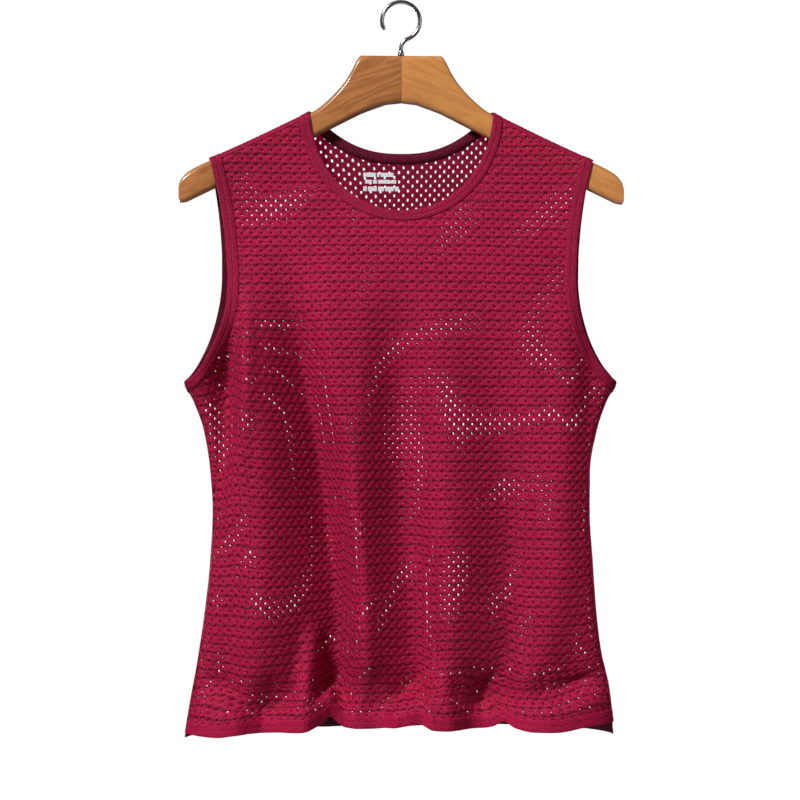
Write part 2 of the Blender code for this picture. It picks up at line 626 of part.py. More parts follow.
def stations(edge, inner, side, count, crowd):
    """Places along an edge, as indices: the shoulder rows first, then by length and bend."""
    step = np.diff(edge, axis=0)
    length = np.hypot(step[:, 0], step[:, 1])
    bend = np.abs(np.diff(np.unwrap(np.arctan2(step[:, 1], step[:, 0])), prepend=0))
    bend[0] = 0
    to_end = np.sum(length) - np.cumsum(length)
    weight = length * (1 + crowd * np.exp(-((to_end / CROWD_REACH) ** 2)))
    total = np.concatenate([[0], np.cumsum(weight + 0.05 * bend)])
    depths = [rows[:, 1] - shoulder_drop(rows[:, 0]) for rows in (edge, inner)]
    below = np.maximum.accumulate(np.maximum(*depths))
    order = np.arange(len(edge), dtype=float)
    firsts = [float(np.interp(row, below, order)) for row in SHOULDER_ROWS[side] if row >= 0]
    start = float(np.interp(firsts[-1], order, total))
    rest = np.interp(np.linspace(start, total[-1], count + 1)[1:], total, order)
    return np.concatenate([firsts, rest])


def lines(kind, side, mirror, gap):
    """Rows (x, drop) of the finished edge and of the sewn edge, at the same stations."""
    if kind == "neck":
        fine, width, count, crowd = neck_edge(side, 200), NECK_BAND, NECK_STATIONS[side], 0
        start = seam_direction(NECK_HALF, 1)
    else:
        fine, width = arm_edge(side, mirror, 200), ARM_BAND
        count, crowd = ARM_STATIONS[side], ARM_CROWD
        start = seam_direction(SHOULDER_HALF - 0.002, -1)
    sewn = set_in(fine, width, start, (0.0, 1.0))
    at = stations(fine, sewn, side, count, crowd)
    inner = set_in(fine, width + gap, start, (0.0, 1.0))
    order = np.arange(len(fine))
    return [
        np.stack([np.interp(at, order, rows[:, k]) for k in (0, 1)], axis=1)
        for rows in (fine, inner)
    ]


def over_shoulder(kind, side, mirror, gap, which):
    """The rows in front of the arm's top: x and drop, from the front seam to the top itself."""
    top = lines(kind, "back", mirror, gap)[which][0]
    seam = lines(kind, "front", mirror, gap)[which][0]
    rows = []
    for below in (row for row in SHOULDER_ROWS["back"] if row <= 0):
        x = float(top[0] + (seam[0] - top[0]) * -below / SEAM_FORWARD)
        rows.append((x, float(shoulder_drop(x)) + below))
    return rows if side == "back" else [(x, 2 * float(shoulder_drop(x)) - d) for x, d in rows]


def on_sheet(side, x, drop):
    """Points and normals of a panel at (x, drop); what rises past the arm's top is in front."""
    x, drop = np.asarray(x, float), np.asarray(drop, float)
    below = drop - shoulder_drop(x)
    crossed = (below < 0) & (side == "back")
    point, normal = sheet_place(SHEETS[side], x, np.maximum(drop, 0))
    if crossed.any():
        mirrored = np.maximum(drop - 2 * below, 0)
        other_point, other_normal = sheet_place(SHEETS["front"], x, mirrored)
        point = np.where(crossed[:, None], other_point, point)
        normal = np.where(crossed[:, None], other_normal, normal)
    return point, normal


def sheet_place(sheet, x, drop):
    low, high = sheet.sides_at(drop)
    inset = SEAM_GAP / 2
    return sheet.at(np.clip(sheet.across_at(x, drop), low + inset, high - inset), drop)


# ------------------------------------------------------------------ making objects
def material(name, colour, roughness, metallic=0.0):
    made = bpy.data.materials.new(name)
    made.use_nodes = True
    shader = made.node_tree.nodes["Principled BSDF"]
    shader.inputs["Base Color"].default_value = (*colour, 1.0)
    shader.inputs["Roughness"].default_value = roughness
    shader.inputs["Metallic"].default_value = metallic
    return made


def mesh_object(name, bm, finish, smooth_angle=40):
    bmesh.ops.recalc_face_normals(bm, faces=bm.faces)
    mesh = bpy.data.meshes.new(name)
    bm.to_mesh(mesh)
    bm.free()
    mesh.materials.append(finish)
    mesh.shade_smooth()
    mesh.set_sharp_from_angle(angle=math.radians(smooth_angle))
    made = bpy.data.objects.new(name, mesh)
    PARTS.objects.link(made)
    return made


def loft(name, rings, finish, closed):
    """A solid through rings of points; closed joins the last ring to the first."""
    bm = bmesh.new()
    loops = [[bm.verts.new(point) for point in ring] for ring in rings]
    pairs = list(zip(loops, loops[1:]))
    if closed:
        pairs.append((loops[-1], loops[0]))
    for one, two in pairs:
        for k in range(len(one)):
            bm.faces.new((one[k - 1], one[k], two[k]))
            bm.faces.new((one[k - 1], two[k], two[k - 1]))
    if not closed:
        bm.faces.new(loops[0])
        bm.faces.new(loops[-1])
    return mesh_object(name, bm, finish)


# ------------------------------------------------------------------ the cloth
def row_ends(side, mirror):
    """Both ends of each row of half a panel: at the middle, and at the armhole or side."""
    neck, arm = (lines(kind, side, mirror, SEAM_GAP)[1] for kind in ("neck", "armhole"))
    if side == "back":
        neck = np.array([*over_shoulder("neck", side, mirror, SEAM_GAP, 1)[:-1], *neck])
        arm = np.array([*over_shoulder("armhole", side, mirror, SEAM_GAP, 1)[:-1], *arm])
    hem_top = CLOTH_LENGTH - HEM_BAND - SEAM_GAP
    zone_top = hem_top - HEM_ZONE
    total = len(neck) - 1 + BODY_ROWS[side]
    middle = np.linspace(neck[-1, 1], zone_top, total + 2 - len(neck))[1:]
    flank = np.linspace(arm[-1, 1], zone_top, total + 2 - len(arm))[1:]
    part = np.linspace(0, 1, HEM_ROWS[side] + 1)[1:]
    last = zone_top + HEM_ZONE * (1 - (1 - part) ** 1.5)
    inner = np.concatenate([neck, [(0.0, drop) for drop in (*middle, *last)]])
    sides = side_at(mirror, np.array([*flank, *last]))
    outer = np.concatenate([arm, np.stack([sides, [*flank, *last]], axis=1)])
    return inner, outer, len(neck)


def column_fractions(side, mirror):
    """Where the columns of a half panel lie, from 0 at the middle to 1 at the side."""
    grading = next(g for g in GRADINGS if (g.side, g.mirror) == (side, mirror))
    fine = np.linspace(0, 1, 400)
    density = 1 + grading.gain * np.exp(-(((fine - grading.line) / grading.reach) ** 2))
    total = np.concatenate([[0], np.cumsum((density[1:] + density[:-1]) / 2)])
    return np.interp(np.linspace(0, total[-1], grading.columns + 1), total, fine)


def half_rows(side, mirror):
    """The grid of (x, drop) of one half of a panel, rows first."""
    inner, outer, neck_rows = row_ends(side, mirror)
    sheet = SHEETS[side]
    part = column_fractions(side, mirror)
    order = np.arange(len(inner))[:, None]
    level = np.clip((order - neck_rows + 1) / 5, 0, 1)
    eased = part * (1 - level) + part**1.3 * level
    drop = inner[:, 1:] + (outer[:, 1:] - inner[:, 1:]) * eased
    ends = [sheet.across_at(rows[:, 0] * mirror, rows[:, 1])[:, None] for rows in (inner, outer)]
    x = sheet.x_at(ends[0] + (ends[1] - ends[0]) * part, drop)
    tops = [shoulder_drop(rows[:, :1]) for rows in (inner, outer)]
    chord = tops[0] + (tops[1] - tops[0]) * part
    follow = np.clip(1 - order / neck_rows, 0, 1)
    return x, drop + (shoulder_drop(x) - chord) * follow


def seam_inset(side, x, drop):
    """The first row drawn back by half a seam, so the two panels clear each other."""
    drop = drop.copy()
    drop[0] = shoulder_drop(x[0]) + SHOULDER_ROWS[side][0] + SEAM_GAP * 0.7
    return drop


def panel(side, name, finish):
    """The front or back: two halves of a grid laid on the sheet, joined down the middle."""
    bm = bmesh.new()
    outward = bm.verts.layers.float_vector.new("outward")
    for mirror in (-1, 1):
        x, drop = half_rows(side, mirror)
        drop = seam_inset(side, x, drop)
        rows, columns = x.shape[0] - 1, x.shape[1] - 1
        points, normals = on_sheet(side, x.ravel(), drop.ravel())
        verts = bmesh.ops.create_grid(bm, x_segments=columns, y_segments=rows, size=1)["verts"]
        for vert in verts:
            column_at = round((vert.co.x + 1) / 2 * columns)
            row_at = round((1 - vert.co.y) / 2 * rows)
            place = row_at * (columns + 1) + column_at
            vert.co, vert[outward] = points[place], normals[place]
    bmesh.ops.remove_doubles(bm, verts=bm.verts, dist=0.00005)
    bmesh.ops.triangulate(bm, faces=bm.faces, quad_method="SHORT_EDGE")
    add_wall(bm, outward)
    return mesh_object(name, bm, finish)


def add_wall(bm, outward):
    """The sheet doubled: its points moved half a wall to each side, and its edges closed."""
    verts, rim = bm.verts[:], [edge for edge in bm.edges if edge.is_boundary]
    copies = bmesh.ops.duplicate(bm, geom=verts + bm.edges[:] + bm.faces[:])["vert_map"]
    for edge in rim:
        one, two = sorted(edge.verts, key=lambda vert: -vert.co.z)
        bm.faces.new((one, two, copies[two]))
        bm.faces.new((one, copies[two], copies[one]))
    for vert in verts:
        half = vert[outward] * (CLOTH_WALL / 2)
        vert.co += half
        copies[vert].co -= half


def band_ring(edge, edge_normal, inner, inner_normal):
    """One section of a band from its finished edge to its sewn edge, flush with the inside."""
    under, over = -CLOTH_WALL / 2, BAND_WALL - CLOTH_WALL / 2
    return [
        edge + edge_normal * over * 0.8,
        inner + inner_normal * over,
        inner + inner_normal * under,
        edge + edge_normal * under * 0.6,
    ]


def band_rings(side, edge, inner, mirror):
    """Sections of a band through rows (x, drop) of its finished edge and its sewn edge."""
    placed = [on_sheet(side, rows[:, 0] * mirror, rows[:, 1]) for rows in (edge, inner)]
    (edges, edge_normals), (inners, inner_normals) = placed
    return [band_ring(*parts) for parts in zip(edges, edge_normals, inners, inner_normals)]


def quarter(kind, side, mirror):
    """A quarter of a binding from the top of the shoulder on, with its own first section."""
    edge, inner = lines(kind, side, mirror, 0.0)
    if side == "front":
        above = [over_shoulder(kind, side, mirror, 0.0, which) for which in (0, 1)]
        edge, inner = (
            np.array([*rows[:0:-1], *line]) for rows, line in zip(above, (edge, inner))
        )
    return band_rings(side, edge, inner, mirror)


def neck_band(finish):
    """The binding round the neck, as one ring."""
    rings = quarter("neck", "front", 1)[:-1] + quarter("neck", "front", -1)[::-1][:-1]
    rings += quarter("neck", "back", -1)[:-1] + quarter("neck", "back", 1)[::-1][:-1]
    return loft("neck_binding", rings, finish, closed=True)


def arm_band(name, mirror, finish):
    """The binding round one armhole: down the front, round the underarm and up the back."""
    rings = quarter("armhole", "front", mirror)[:-1]
    rings += quarter("armhole", "back", mirror)[::-1][:-1]
    return loft(name, rings, finish, closed=True)


def hem_band(side, name, finish):
    """The turned-up hem of one panel, from side seam to side seam."""
    bands = []
    for level in (CLOTH_LENGTH, CLOTH_LENGTH - HEM_BAND):
        low, high = SHEETS[side].sides_at(level)
        left, right = (column_fractions(side, mirror) for mirror in (-1, 1))
        across = np.concatenate([left[::-1] * low, right[1:] * high])
        drop = np.full_like(across, level)
        bands.append(np.stack([SHEETS[side].x_at(across, drop), drop], axis=1))
    return loft(name, band_rings(side, bands[0], bands[1], 1), finish, closed=False)


# ------------------------------------------------------------------ the hanger
def arm_ring(x, mirror):
    """One upright section of the wooden arm, a rectangle with rounded corners."""
    top, bottom = (float(of_table(ARM, name, x, "x")) for name in ("top", "bottom"))
    cut = min(WOOD_ROUND, (top - bottom) * 0.45)
    wide = ARM_HALF_THICK
    turns = [math.radians(angle) for angle in (0, 30, 60, 90)]
    quarter = [(cut * (1 - math.cos(turn)), cut * (1 - math.sin(turn))) for turn in turns]
    upper = [(wide - y, top - z) for y, z in quarter]
    lower = [(wide - y, bottom + z) for y, z in reversed(quarter)]
    half = lower + upper
    other = [(-y, z) for y, z in reversed(half)]
    middle = float(arm_depth(x))
    return [Vector((x * mirror, middle + y, z)) for y, z in half + other]


def wooden_arm(name, mirror, finish):
    """One half of the hanger; its sections lie closer where its outline bends."""
    firsts = [SEAM_GAP / 2, *column(ARM[1:9], "x")]
    lasts = column(ARM[-5:], "x")
    between = np.linspace(firsts[-1], lasts[0], WOOD_RINGS - len(firsts) - len(lasts) + 2)[1:-1]
    rings = [arm_ring(float(x), mirror) for x in (*firsts, *between, *lasts)]
    return loft(name, rings, finish, closed=False)


def hook_path():
    """Centre line of the wire: up from its foot, out, and round over the rail."""
    centre = WIRE_RADIUS - HOOK_RADIUS
    bend = HOOK_RADIUS * math.cos(HOOK_FOOT_ANGLE) / (1 - math.cos(HOOK_FOOT_ANGLE))
    bend_height = centre - (HOOK_RADIUS + bend) * math.sin(HOOK_FOOT_ANGLE)
    foot = WOOD_TOP + SEAM_GAP + COLLAR_HEIGHT + SEAM_GAP
    path = [Vector((0, 0, foot))]
    for angle in np.linspace(0, HOOK_FOOT_ANGLE, 6):
        path.append(Vector((bend * (1 - math.cos(angle)), 0, bend_height + bend * math.sin(angle))))
    for angle in np.linspace(-HOOK_FOOT_ANGLE, HOOK_TIP_ANGLE, 26)[1:]:
        path.append(
            Vector((HOOK_RADIUS * math.cos(angle), 0, centre + HOOK_RADIUS * math.sin(angle)))
        )
    return path


def hook(finish):
    curve = bpy.data.curves.new("hanger_hook", "CURVE")
    curve.dimensions = "3D"
    curve.bevel_depth = WIRE_RADIUS
    curve.bevel_resolution = 3
    curve.use_fill_caps = True
    path = hook_path()
    spline = curve.splines.new("POLY")
    spline.points.add(len(path) - 1)
    for point, place in zip(spline.points, path):
        point.co = (*place, 1.0)
    curve.materials.append(finish)
    made = bpy.data.objects.new("hanger_hook", curve)
    PARTS.objects.link(made)
    return made


def hook_collar(finish):
    """The round steel foot that the hook stands in, on top of the wood."""
    bm = bmesh.new()
    bmesh.ops.create_cone(
        bm,
        cap_ends=True,
        segments=20,
        radius1=COLLAR_RADIUS,
        radius2=COLLAR_RADIUS * 0.8,
        depth=COLLAR_HEIGHT,
    )
    made = mesh_object("hook_collar", bm, finish)
    made.location.z = WOOD_TOP + SEAM_GAP + COLLAR_HEIGHT / 2
    return made


# ------------------------------------------------------------------ the object
for old in list(bpy.data.objects):
    bpy.data.objects.remove(old)
PARTS = bpy.data.collections.new("mesh_tank_top_on_hanger")
bpy.context.scene.collection.children.link(PARTS)


def main():
    mesh_knit = material("mesh_knit", WINE, 0.75)
    binding = material("binding_knit", WINE_BAND, 0.7)
    steel = material("steel", STEEL, 0.3, metallic=1.0)
    panel("front", "front_panel", mesh_knit)
    panel("back", "back_panel", mesh_knit)
    neck_band(binding)
    arm_band("armhole_binding_left", -1, binding)
    arm_band("armhole_binding_right", 1, binding)
    hem_band("front", "hem_front", binding)
    hem_band("back", "hem_back", binding)
    wooden_arm("hanger_arm_left", -1, material("wood_left", WOOD_LEFT, 0.4))
    wooden_arm("hanger_arm_right", 1, material("wood_right", WOOD_RIGHT, 0.4))
    hook_collar(steel)
    hook(steel)


main()
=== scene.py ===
"""Looks of a mesh tank top on a wooden hanger: the net with its real holes, the knitted bindings,
the hems with their stitching, the taped seams, the print inside the neck, the wood and the wire.

Metres, +Z up, front towards -Y. Cloth coordinates are `across`, along the cloth from the middle of
a panel, and `drop`, down the cloth from the height of the neck point.
"""

import math
from collections import namedtuple

import bmesh
import bpy
import numpy as np
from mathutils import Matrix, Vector


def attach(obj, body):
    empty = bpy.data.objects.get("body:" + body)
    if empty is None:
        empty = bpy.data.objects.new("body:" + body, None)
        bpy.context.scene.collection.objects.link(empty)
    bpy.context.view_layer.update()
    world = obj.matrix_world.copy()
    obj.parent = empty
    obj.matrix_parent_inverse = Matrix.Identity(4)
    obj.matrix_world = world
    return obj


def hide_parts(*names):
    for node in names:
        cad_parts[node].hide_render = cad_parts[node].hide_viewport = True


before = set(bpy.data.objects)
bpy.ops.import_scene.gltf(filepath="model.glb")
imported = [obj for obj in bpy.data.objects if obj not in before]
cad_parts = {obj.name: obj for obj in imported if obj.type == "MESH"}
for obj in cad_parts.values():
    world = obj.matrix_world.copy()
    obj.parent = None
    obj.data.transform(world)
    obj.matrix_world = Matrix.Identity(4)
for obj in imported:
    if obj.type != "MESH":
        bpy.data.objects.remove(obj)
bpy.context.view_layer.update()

# ------------------------------------------------------------------ driving sizes
SEAM_GAP = 0.0003
CLOTH_WALL = 0.0012

WOOD_TOP = -0.052
ARM_HALF_THICK = 0.0065
ARM_SWEEP = 0.022
HANGER_HALF = 0.221
WOOD_ROUND = 0.0062
WOOD_CLEAR = 0.0006

WIRE_RADIUS = 0.002
HOOK_RADIUS = 0.019
HOOK_FOOT_ANGLE = math.radians(68)
HOOK_TIP_ANGLE = math.radians(205)
COLLAR_RADIUS = 0.0034
COLLAR_HEIGHT = 0.005
COLLAR_FLANGE = 0.0012
# Steps of the collar above its flange: the radius that is reached and the rise to it.
COLLAR_STEPS = ((0.0030, 0.0005), (0.0027, 0.0003), (0.0027, 0.0020), (0.0025, 0.0006), (0.0021, 0.0004))

NECK_HALF = 0.0915
FRONT_NECK_DROP = 0.104
BACK_NECK_DROP = 0.044
BACK_NECK_POWER = 2.4
SHOULDER_HALF = 0.191
UNDERARM_DROP = 0.272
CLOTH_LENGTH = 0.620
NECK_BAND = 0.011
ARM_BAND = 0.012
HEM_BAND = 0.013

# The sheet turns over the arm of the hanger in a half circle of this radius.
WRAP_RADIUS = ARM_HALF_THICK + WOOD_CLEAR + CLOTH_WALL / 2
WRAP_LENGTH = WRAP_RADIUS * math.pi / 2
# Inside the neck point, the binding still follows the rising wood this far.
NECK_HUG = 0.012
# Below the shoulder, the sheet takes this far to reach the open shape of the body.
SHOULDER_BLEND = 0.215
# Flatness of the body's section: 2 is an ellipse, more is boxier.
SECTION_POWERS = (4.0, 3.6)

# ------------------------------------------------------------------ tables
# The wooden arm, from the joint in the middle to the tip.
Arm = namedtuple("Arm", "x top bottom")
ARM = [
    Arm(0.0000, -0.0520, -0.0995),
    Arm(0.0150, -0.0520, -0.1012),
    Arm(0.0285, -0.0520, -0.1060),
    Arm(0.0400, -0.0520, -0.1105),
    Arm(0.0445, -0.0575, -0.1128),
    Arm(0.0500, -0.0685, -0.1155),
    Arm(0.0560, -0.0780, -0.1186),
    Arm(0.0640, -0.0878, -0.1227),
    Arm(0.0730, -0.0970, -0.1275),
    Arm(0.0830, -0.1055, -0.1329),
    Arm(0.0920, -0.1109, -0.1377),
    Arm(0.1200, -0.1252, -0.1525),
    Arm(0.1500, -0.1401, -0.1683),
    Arm(0.1780, -0.1534, -0.1830),
    Arm(0.1950, -0.1614, -0.1917),
    Arm(0.2060, -0.1672, -0.1972),
    Arm(0.2140, -0.1728, -0.2010),
    Arm(0.2190, -0.1795, -0.2016),
    Arm(0.2210, -0.1860, -0.1975),
]

# The body of the garment: its sides, and how deep the front, the back and the side seams lie.
Section = namedtuple("Section", "drop left right front back seam_left seam_right")
SECTIONS = [
    Section(0.000, -0.2160, 0.2140, -0.026, 0.014, -0.008, -0.008),
    Section(0.100, -0.2160, 0.2140, -0.034, 0.020, -0.007, -0.010),
    Section(0.200, -0.2160, 0.2140, -0.041, 0.026, -0.005, -0.014),
    Section(0.272, -0.2150, 0.2130, -0.045, 0.030, -0.004, -0.019),
    Section(0.292, -0.2060, 0.2030, -0.046, 0.031, -0.004, -0.022),
    Section(0.320, -0.1960, 0.1930, -0.047, 0.031, -0.003, -0.026),
    Section(0.360, -0.1895, 0.1855, -0.048, 0.032, -0.003, -0.030),
    Section(0.400, -0.1870, 0.1850, -0.048, 0.033, -0.002, -0.031),
    Section(0.450, -0.1895, 0.1880, -0.048, 0.034, -0.002, -0.031),
    Section(0.500, -0.1950, 0.1920, -0.046, 0.035, -0.001, -0.027),
    Section(0.550, -0.2025, 0.1990, -0.038, 0.035, 0.000, -0.019),
    Section(0.585, -0.2090, 0.2070, -0.029, 0.033, 0.000, -0.013),
    Section(0.620, -0.2150, 0.2110, -0.027, 0.032, 0.000, -0.016),
]

# The folds. Each runs down the cloth along its own rows: where its bottom line is, how deep it is
# and how far it reaches to either side. A negative depth is a ridge.
Fold = namedtuple("Fold", "drop x depth left right crease")
FRONT_FOLDS = {
    "underarm_left": [
        Fold(0.170, -0.162, 0.000, 0.014, 0.014, 0.0),
        Fold(0.215, -0.167, 0.006, 0.014, 0.014, 0.0),
        Fold(0.240, -0.170, 0.014, 0.024, 0.015, 0.1),
        Fold(0.268, -0.172, 0.030, 0.038, 0.017, 0.2),
        Fold(0.300, -0.175, 0.044, 0.048, 0.020, 0.2),
        Fold(0.340, -0.179, 0.046, 0.038, 0.020, 0.2),
        Fold(0.380, -0.184, 0.050, 0.024, 0.017, 0.2),
        Fold(0.420, -0.189, 0.030, 0.020, 0.016, 0.2),
        Fold(0.465, -0.195, 0.000, 0.016, 0.014, 0.1),
    ],
    "valley_left": [
        Fold(0.130, -0.116, 0.000, 0.040, 0.040, 0.0),
        Fold(0.190, -0.110, 0.010, 0.040, 0.036, 0.2),
        Fold(0.240, -0.102, 0.026, 0.044, 0.032, 0.5),
        Fold(0.285, -0.094, 0.038, 0.052, 0.030, 0.7),
        Fold(0.335, -0.084, 0.046, 0.060, 0.030, 0.7),
        Fold(0.385, -0.077, 0.052, 0.068, 0.030, 0.7),
        Fold(0.440, -0.070, 0.055, 0.074, 0.030, 0.7),
        Fold(0.500, -0.064, 0.053, 0.080, 0.028, 0.7),
        Fold(0.560, -0.063, 0.047, 0.081, 0.028, 0.6),
        Fold(0.620, -0.067, 0.040, 0.078, 0.022, 0.7),
    ],
    "valley_middle": [
        Fold(0.160, -0.012, 0.000, 0.036, 0.050, 0.0),
        Fold(0.230, -0.008, 0.010, 0.038, 0.044, 0.1),
        Fold(0.285, -0.004, 0.021, 0.044, 0.042, 0.2),
        Fold(0.335, -0.001, 0.028, 0.050, 0.042, 0.2),
        Fold(0.400, 0.001, 0.032, 0.052, 0.042, 0.2),
        Fold(0.460, 0.006, 0.033, 0.056, 0.040, 0.2),
        Fold(0.520, 0.010, 0.031, 0.060, 0.040, 0.2),
        Fold(0.620, 0.014, 0.024, 0.060, 0.034, 0.2),
    ],
    "valley_right": [
        Fold(0.160, 0.084, 0.000, 0.050, 0.050, 0.0),
        Fold(0.280, 0.094, 0.009, 0.052, 0.050, 0.0),
        Fold(0.380, 0.103, 0.017, 0.058, 0.046, 0.0),
        Fold(0.460, 0.107, 0.022, 0.062, 0.044, 0.1),
        Fold(0.520, 0.106, 0.020, 0.064, 0.044, 0.1),
        Fold(0.560, 0.098, 0.018, 0.056, 0.040, 0.2),
        Fold(0.620, 0.088, 0.014, 0.046, 0.034, 0.2),
    ],
    "underarm_right": [
        Fold(0.170, 0.180, 0.000, 0.018, 0.024, 0.0),
        Fold(0.230, 0.184, 0.003, 0.018, 0.024, 0.1),
        Fold(0.290, 0.188, 0.007, 0.016, 0.018, 0.3),
        Fold(0.350, 0.186, 0.005, 0.014, 0.014, 0.3),
        Fold(0.430, 0.182, 0.000, 0.014, 0.012, 0.2),
    ],
    "strip_right": [
        Fold(0.165, 0.160, 0.000, 0.024, 0.030, 0.0),
        Fold(0.215, 0.162, -0.006, 0.024, 0.030, 0.0),
        Fold(0.400, 0.162, -0.008, 0.026, 0.030, 0.0),
        Fold(0.490, 0.161, -0.004, 0.026, 0.030, 0.0),
        Fold(0.540, 0.160, 0.000, 0.026, 0.030, 0.0),
    ],
    "ridge_left": [
        Fold(0.170, -0.155, 0.000, 0.010, 0.014, 0.0),
        Fold(0.215, -0.155, -0.006, 0.011, 0.014, 0.0),
        Fold(0.290, -0.157, -0.008, 0.012, 0.016, 0.0),
        Fold(0.350, -0.160, -0.005, 0.012, 0.016, 0.0),
        Fold(0.420, -0.164, 0.000, 0.012, 0.016, 0.0),
    ],
    "dent_left_edge": [
        Fold(0.400, -0.170, 0.000, 0.028, 0.018, 0.0),
        Fold(0.440, -0.170, 0.006, 0.030, 0.018, 0.0),
        Fold(0.480, -0.171, 0.009, 0.032, 0.020, 0.0),
        Fold(0.530, -0.174, 0.013, 0.034, 0.024, 0.0),
        Fold(0.575, -0.178, 0.015, 0.034, 0.026, 0.0),
        Fold(0.620, -0.180, 0.010, 0.034, 0.026, 0.0),
    ],
    "dent_right_edge": [
        Fold(0.480, 0.166, 0.000, 0.034, 0.026, 0.0),
        Fold(0.545, 0.172, 0.007, 0.034, 0.026, 0.0),
        Fold(0.590, 0.178, 0.012, 0.034, 0.024, 0.0),
        Fold(0.620, 0.180, 0.008, 0.034, 0.024, 0.0),
    ],
    "pocket_left": [
        Fold(0.540, -0.130, 0.000, 0.026, 0.022, 0.0),
        Fold(0.575, -0.132, 0.008, 0.026, 0.022, 0.0),
        Fold(0.600, -0.134, 0.012, 0.024, 0.022, 0.0),
        Fold(0.620, -0.136, 0.008, 0.024, 0.020, 0.0),
    ],
    "pocket_middle": [
        Fold(0.550, -0.037, 0.000, 0.024, 0.026, 0.0),
        Fold(0.580, -0.037, 0.007, 0.024, 0.026, 0.0),
        Fold(0.605, -0.035, 0.010, 0.022, 0.024, 0.0),
        Fold(0.620, -0.035, 0.006, 0.022, 0.024, 0.0),
    ],
    "pocket_right": [
        Fold(0.545, 0.075, 0.000, 0.024, 0.022, 0.0),
        Fold(0.578, 0.078, 0.008, 0.024, 0.022, 0.0),
        Fold(0.603, 0.079, 0.011, 0.022, 0.022, 0.0),
        Fold(0.620, 0.079, 0.007, 0.022, 0.020, 0.0),
    ],
    "ridge_in_left_valley": [
        Fold(0.500, -0.086, 0.000, 0.014, 0.012, 0.0),
        Fold(0.535, -0.089, -0.012, 0.018, 0.014, 0.0),
        Fold(0.570, -0.092, -0.020, 0.022, 0.016, 0.0),
        Fold(0.620, -0.094, -0.020, 0.024, 0.018, 0.0),
    ],
    "bump_right_of_middle": [
        Fold(0.540, 0.035, 0.000, 0.014, 0.016, 0.0),
        Fold(0.580, 0.036, -0.012, 0.018, 0.020, 0.0),
        Fold(0.620, 0.037, -0.010, 0.018, 0.022, 0.0),
    ],
    "ridge_right": [
        Fold(0.500, 0.122, 0.000, 0.018, 0.022, 0.0),
        Fold(0.560, 0.121, -0.008, 0.020, 0.022, 0.0),
        Fold(0.620, 0.120, 0.000, 0.018, 0.020, 0.0),
    ],
}
BACK_FOLDS = {
    "valley_left": [
        Fold(0.240, -0.098, 0.000, 0.038, 0.030, 0.1),
        Fold(0.380, -0.090, 0.012, 0.044, 0.034, 0.1),
        Fold(0.520, -0.080, 0.018, 0.050, 0.034, 0.1),
        Fold(0.620, -0.076, 0.021, 0.046, 0.026, 0.1),
    ],
    "valley_middle": [
        Fold(0.140, 0.008, 0.000, 0.040, 0.040, 0.1),
        Fold(0.300, 0.004, 0.007, 0.040, 0.044, 0.1),
        Fold(0.480, -0.004, 0.013, 0.038, 0.046, 0.1),
        Fold(0.620, 0.004, 0.017, 0.030, 0.040, 0.1),
    ],
    "valley_right": [
        Fold(0.210, 0.104, 0.000, 0.030, 0.040, 0.1),
        Fold(0.360, 0.096, 0.013, 0.032, 0.046, 0.1),
        Fold(0.500, 0.088, 0.020, 0.034, 0.052, 0.1),
        Fold(0.620, 0.084, 0.022, 0.026, 0.048, 0.1),
    ],
    "underarm_left": [
        Fold(0.180, -0.168, 0.000, 0.030, 0.016, 0.1),
        Fold(0.275, -0.172, 0.012, 0.034, 0.016, 0.1),
        Fold(0.400, -0.176, 0.000, 0.020, 0.016, 0.1),
    ],
    "underarm_right": [
        Fold(0.180, 0.166, 0.000, 0.016, 0.030, 0.1),
        Fold(0.270, 0.170, 0.013, 0.016, 0.034, 0.1),
        Fold(0.410, 0.174, 0.000, 0.016, 0.020, 0.1),
    ],
}

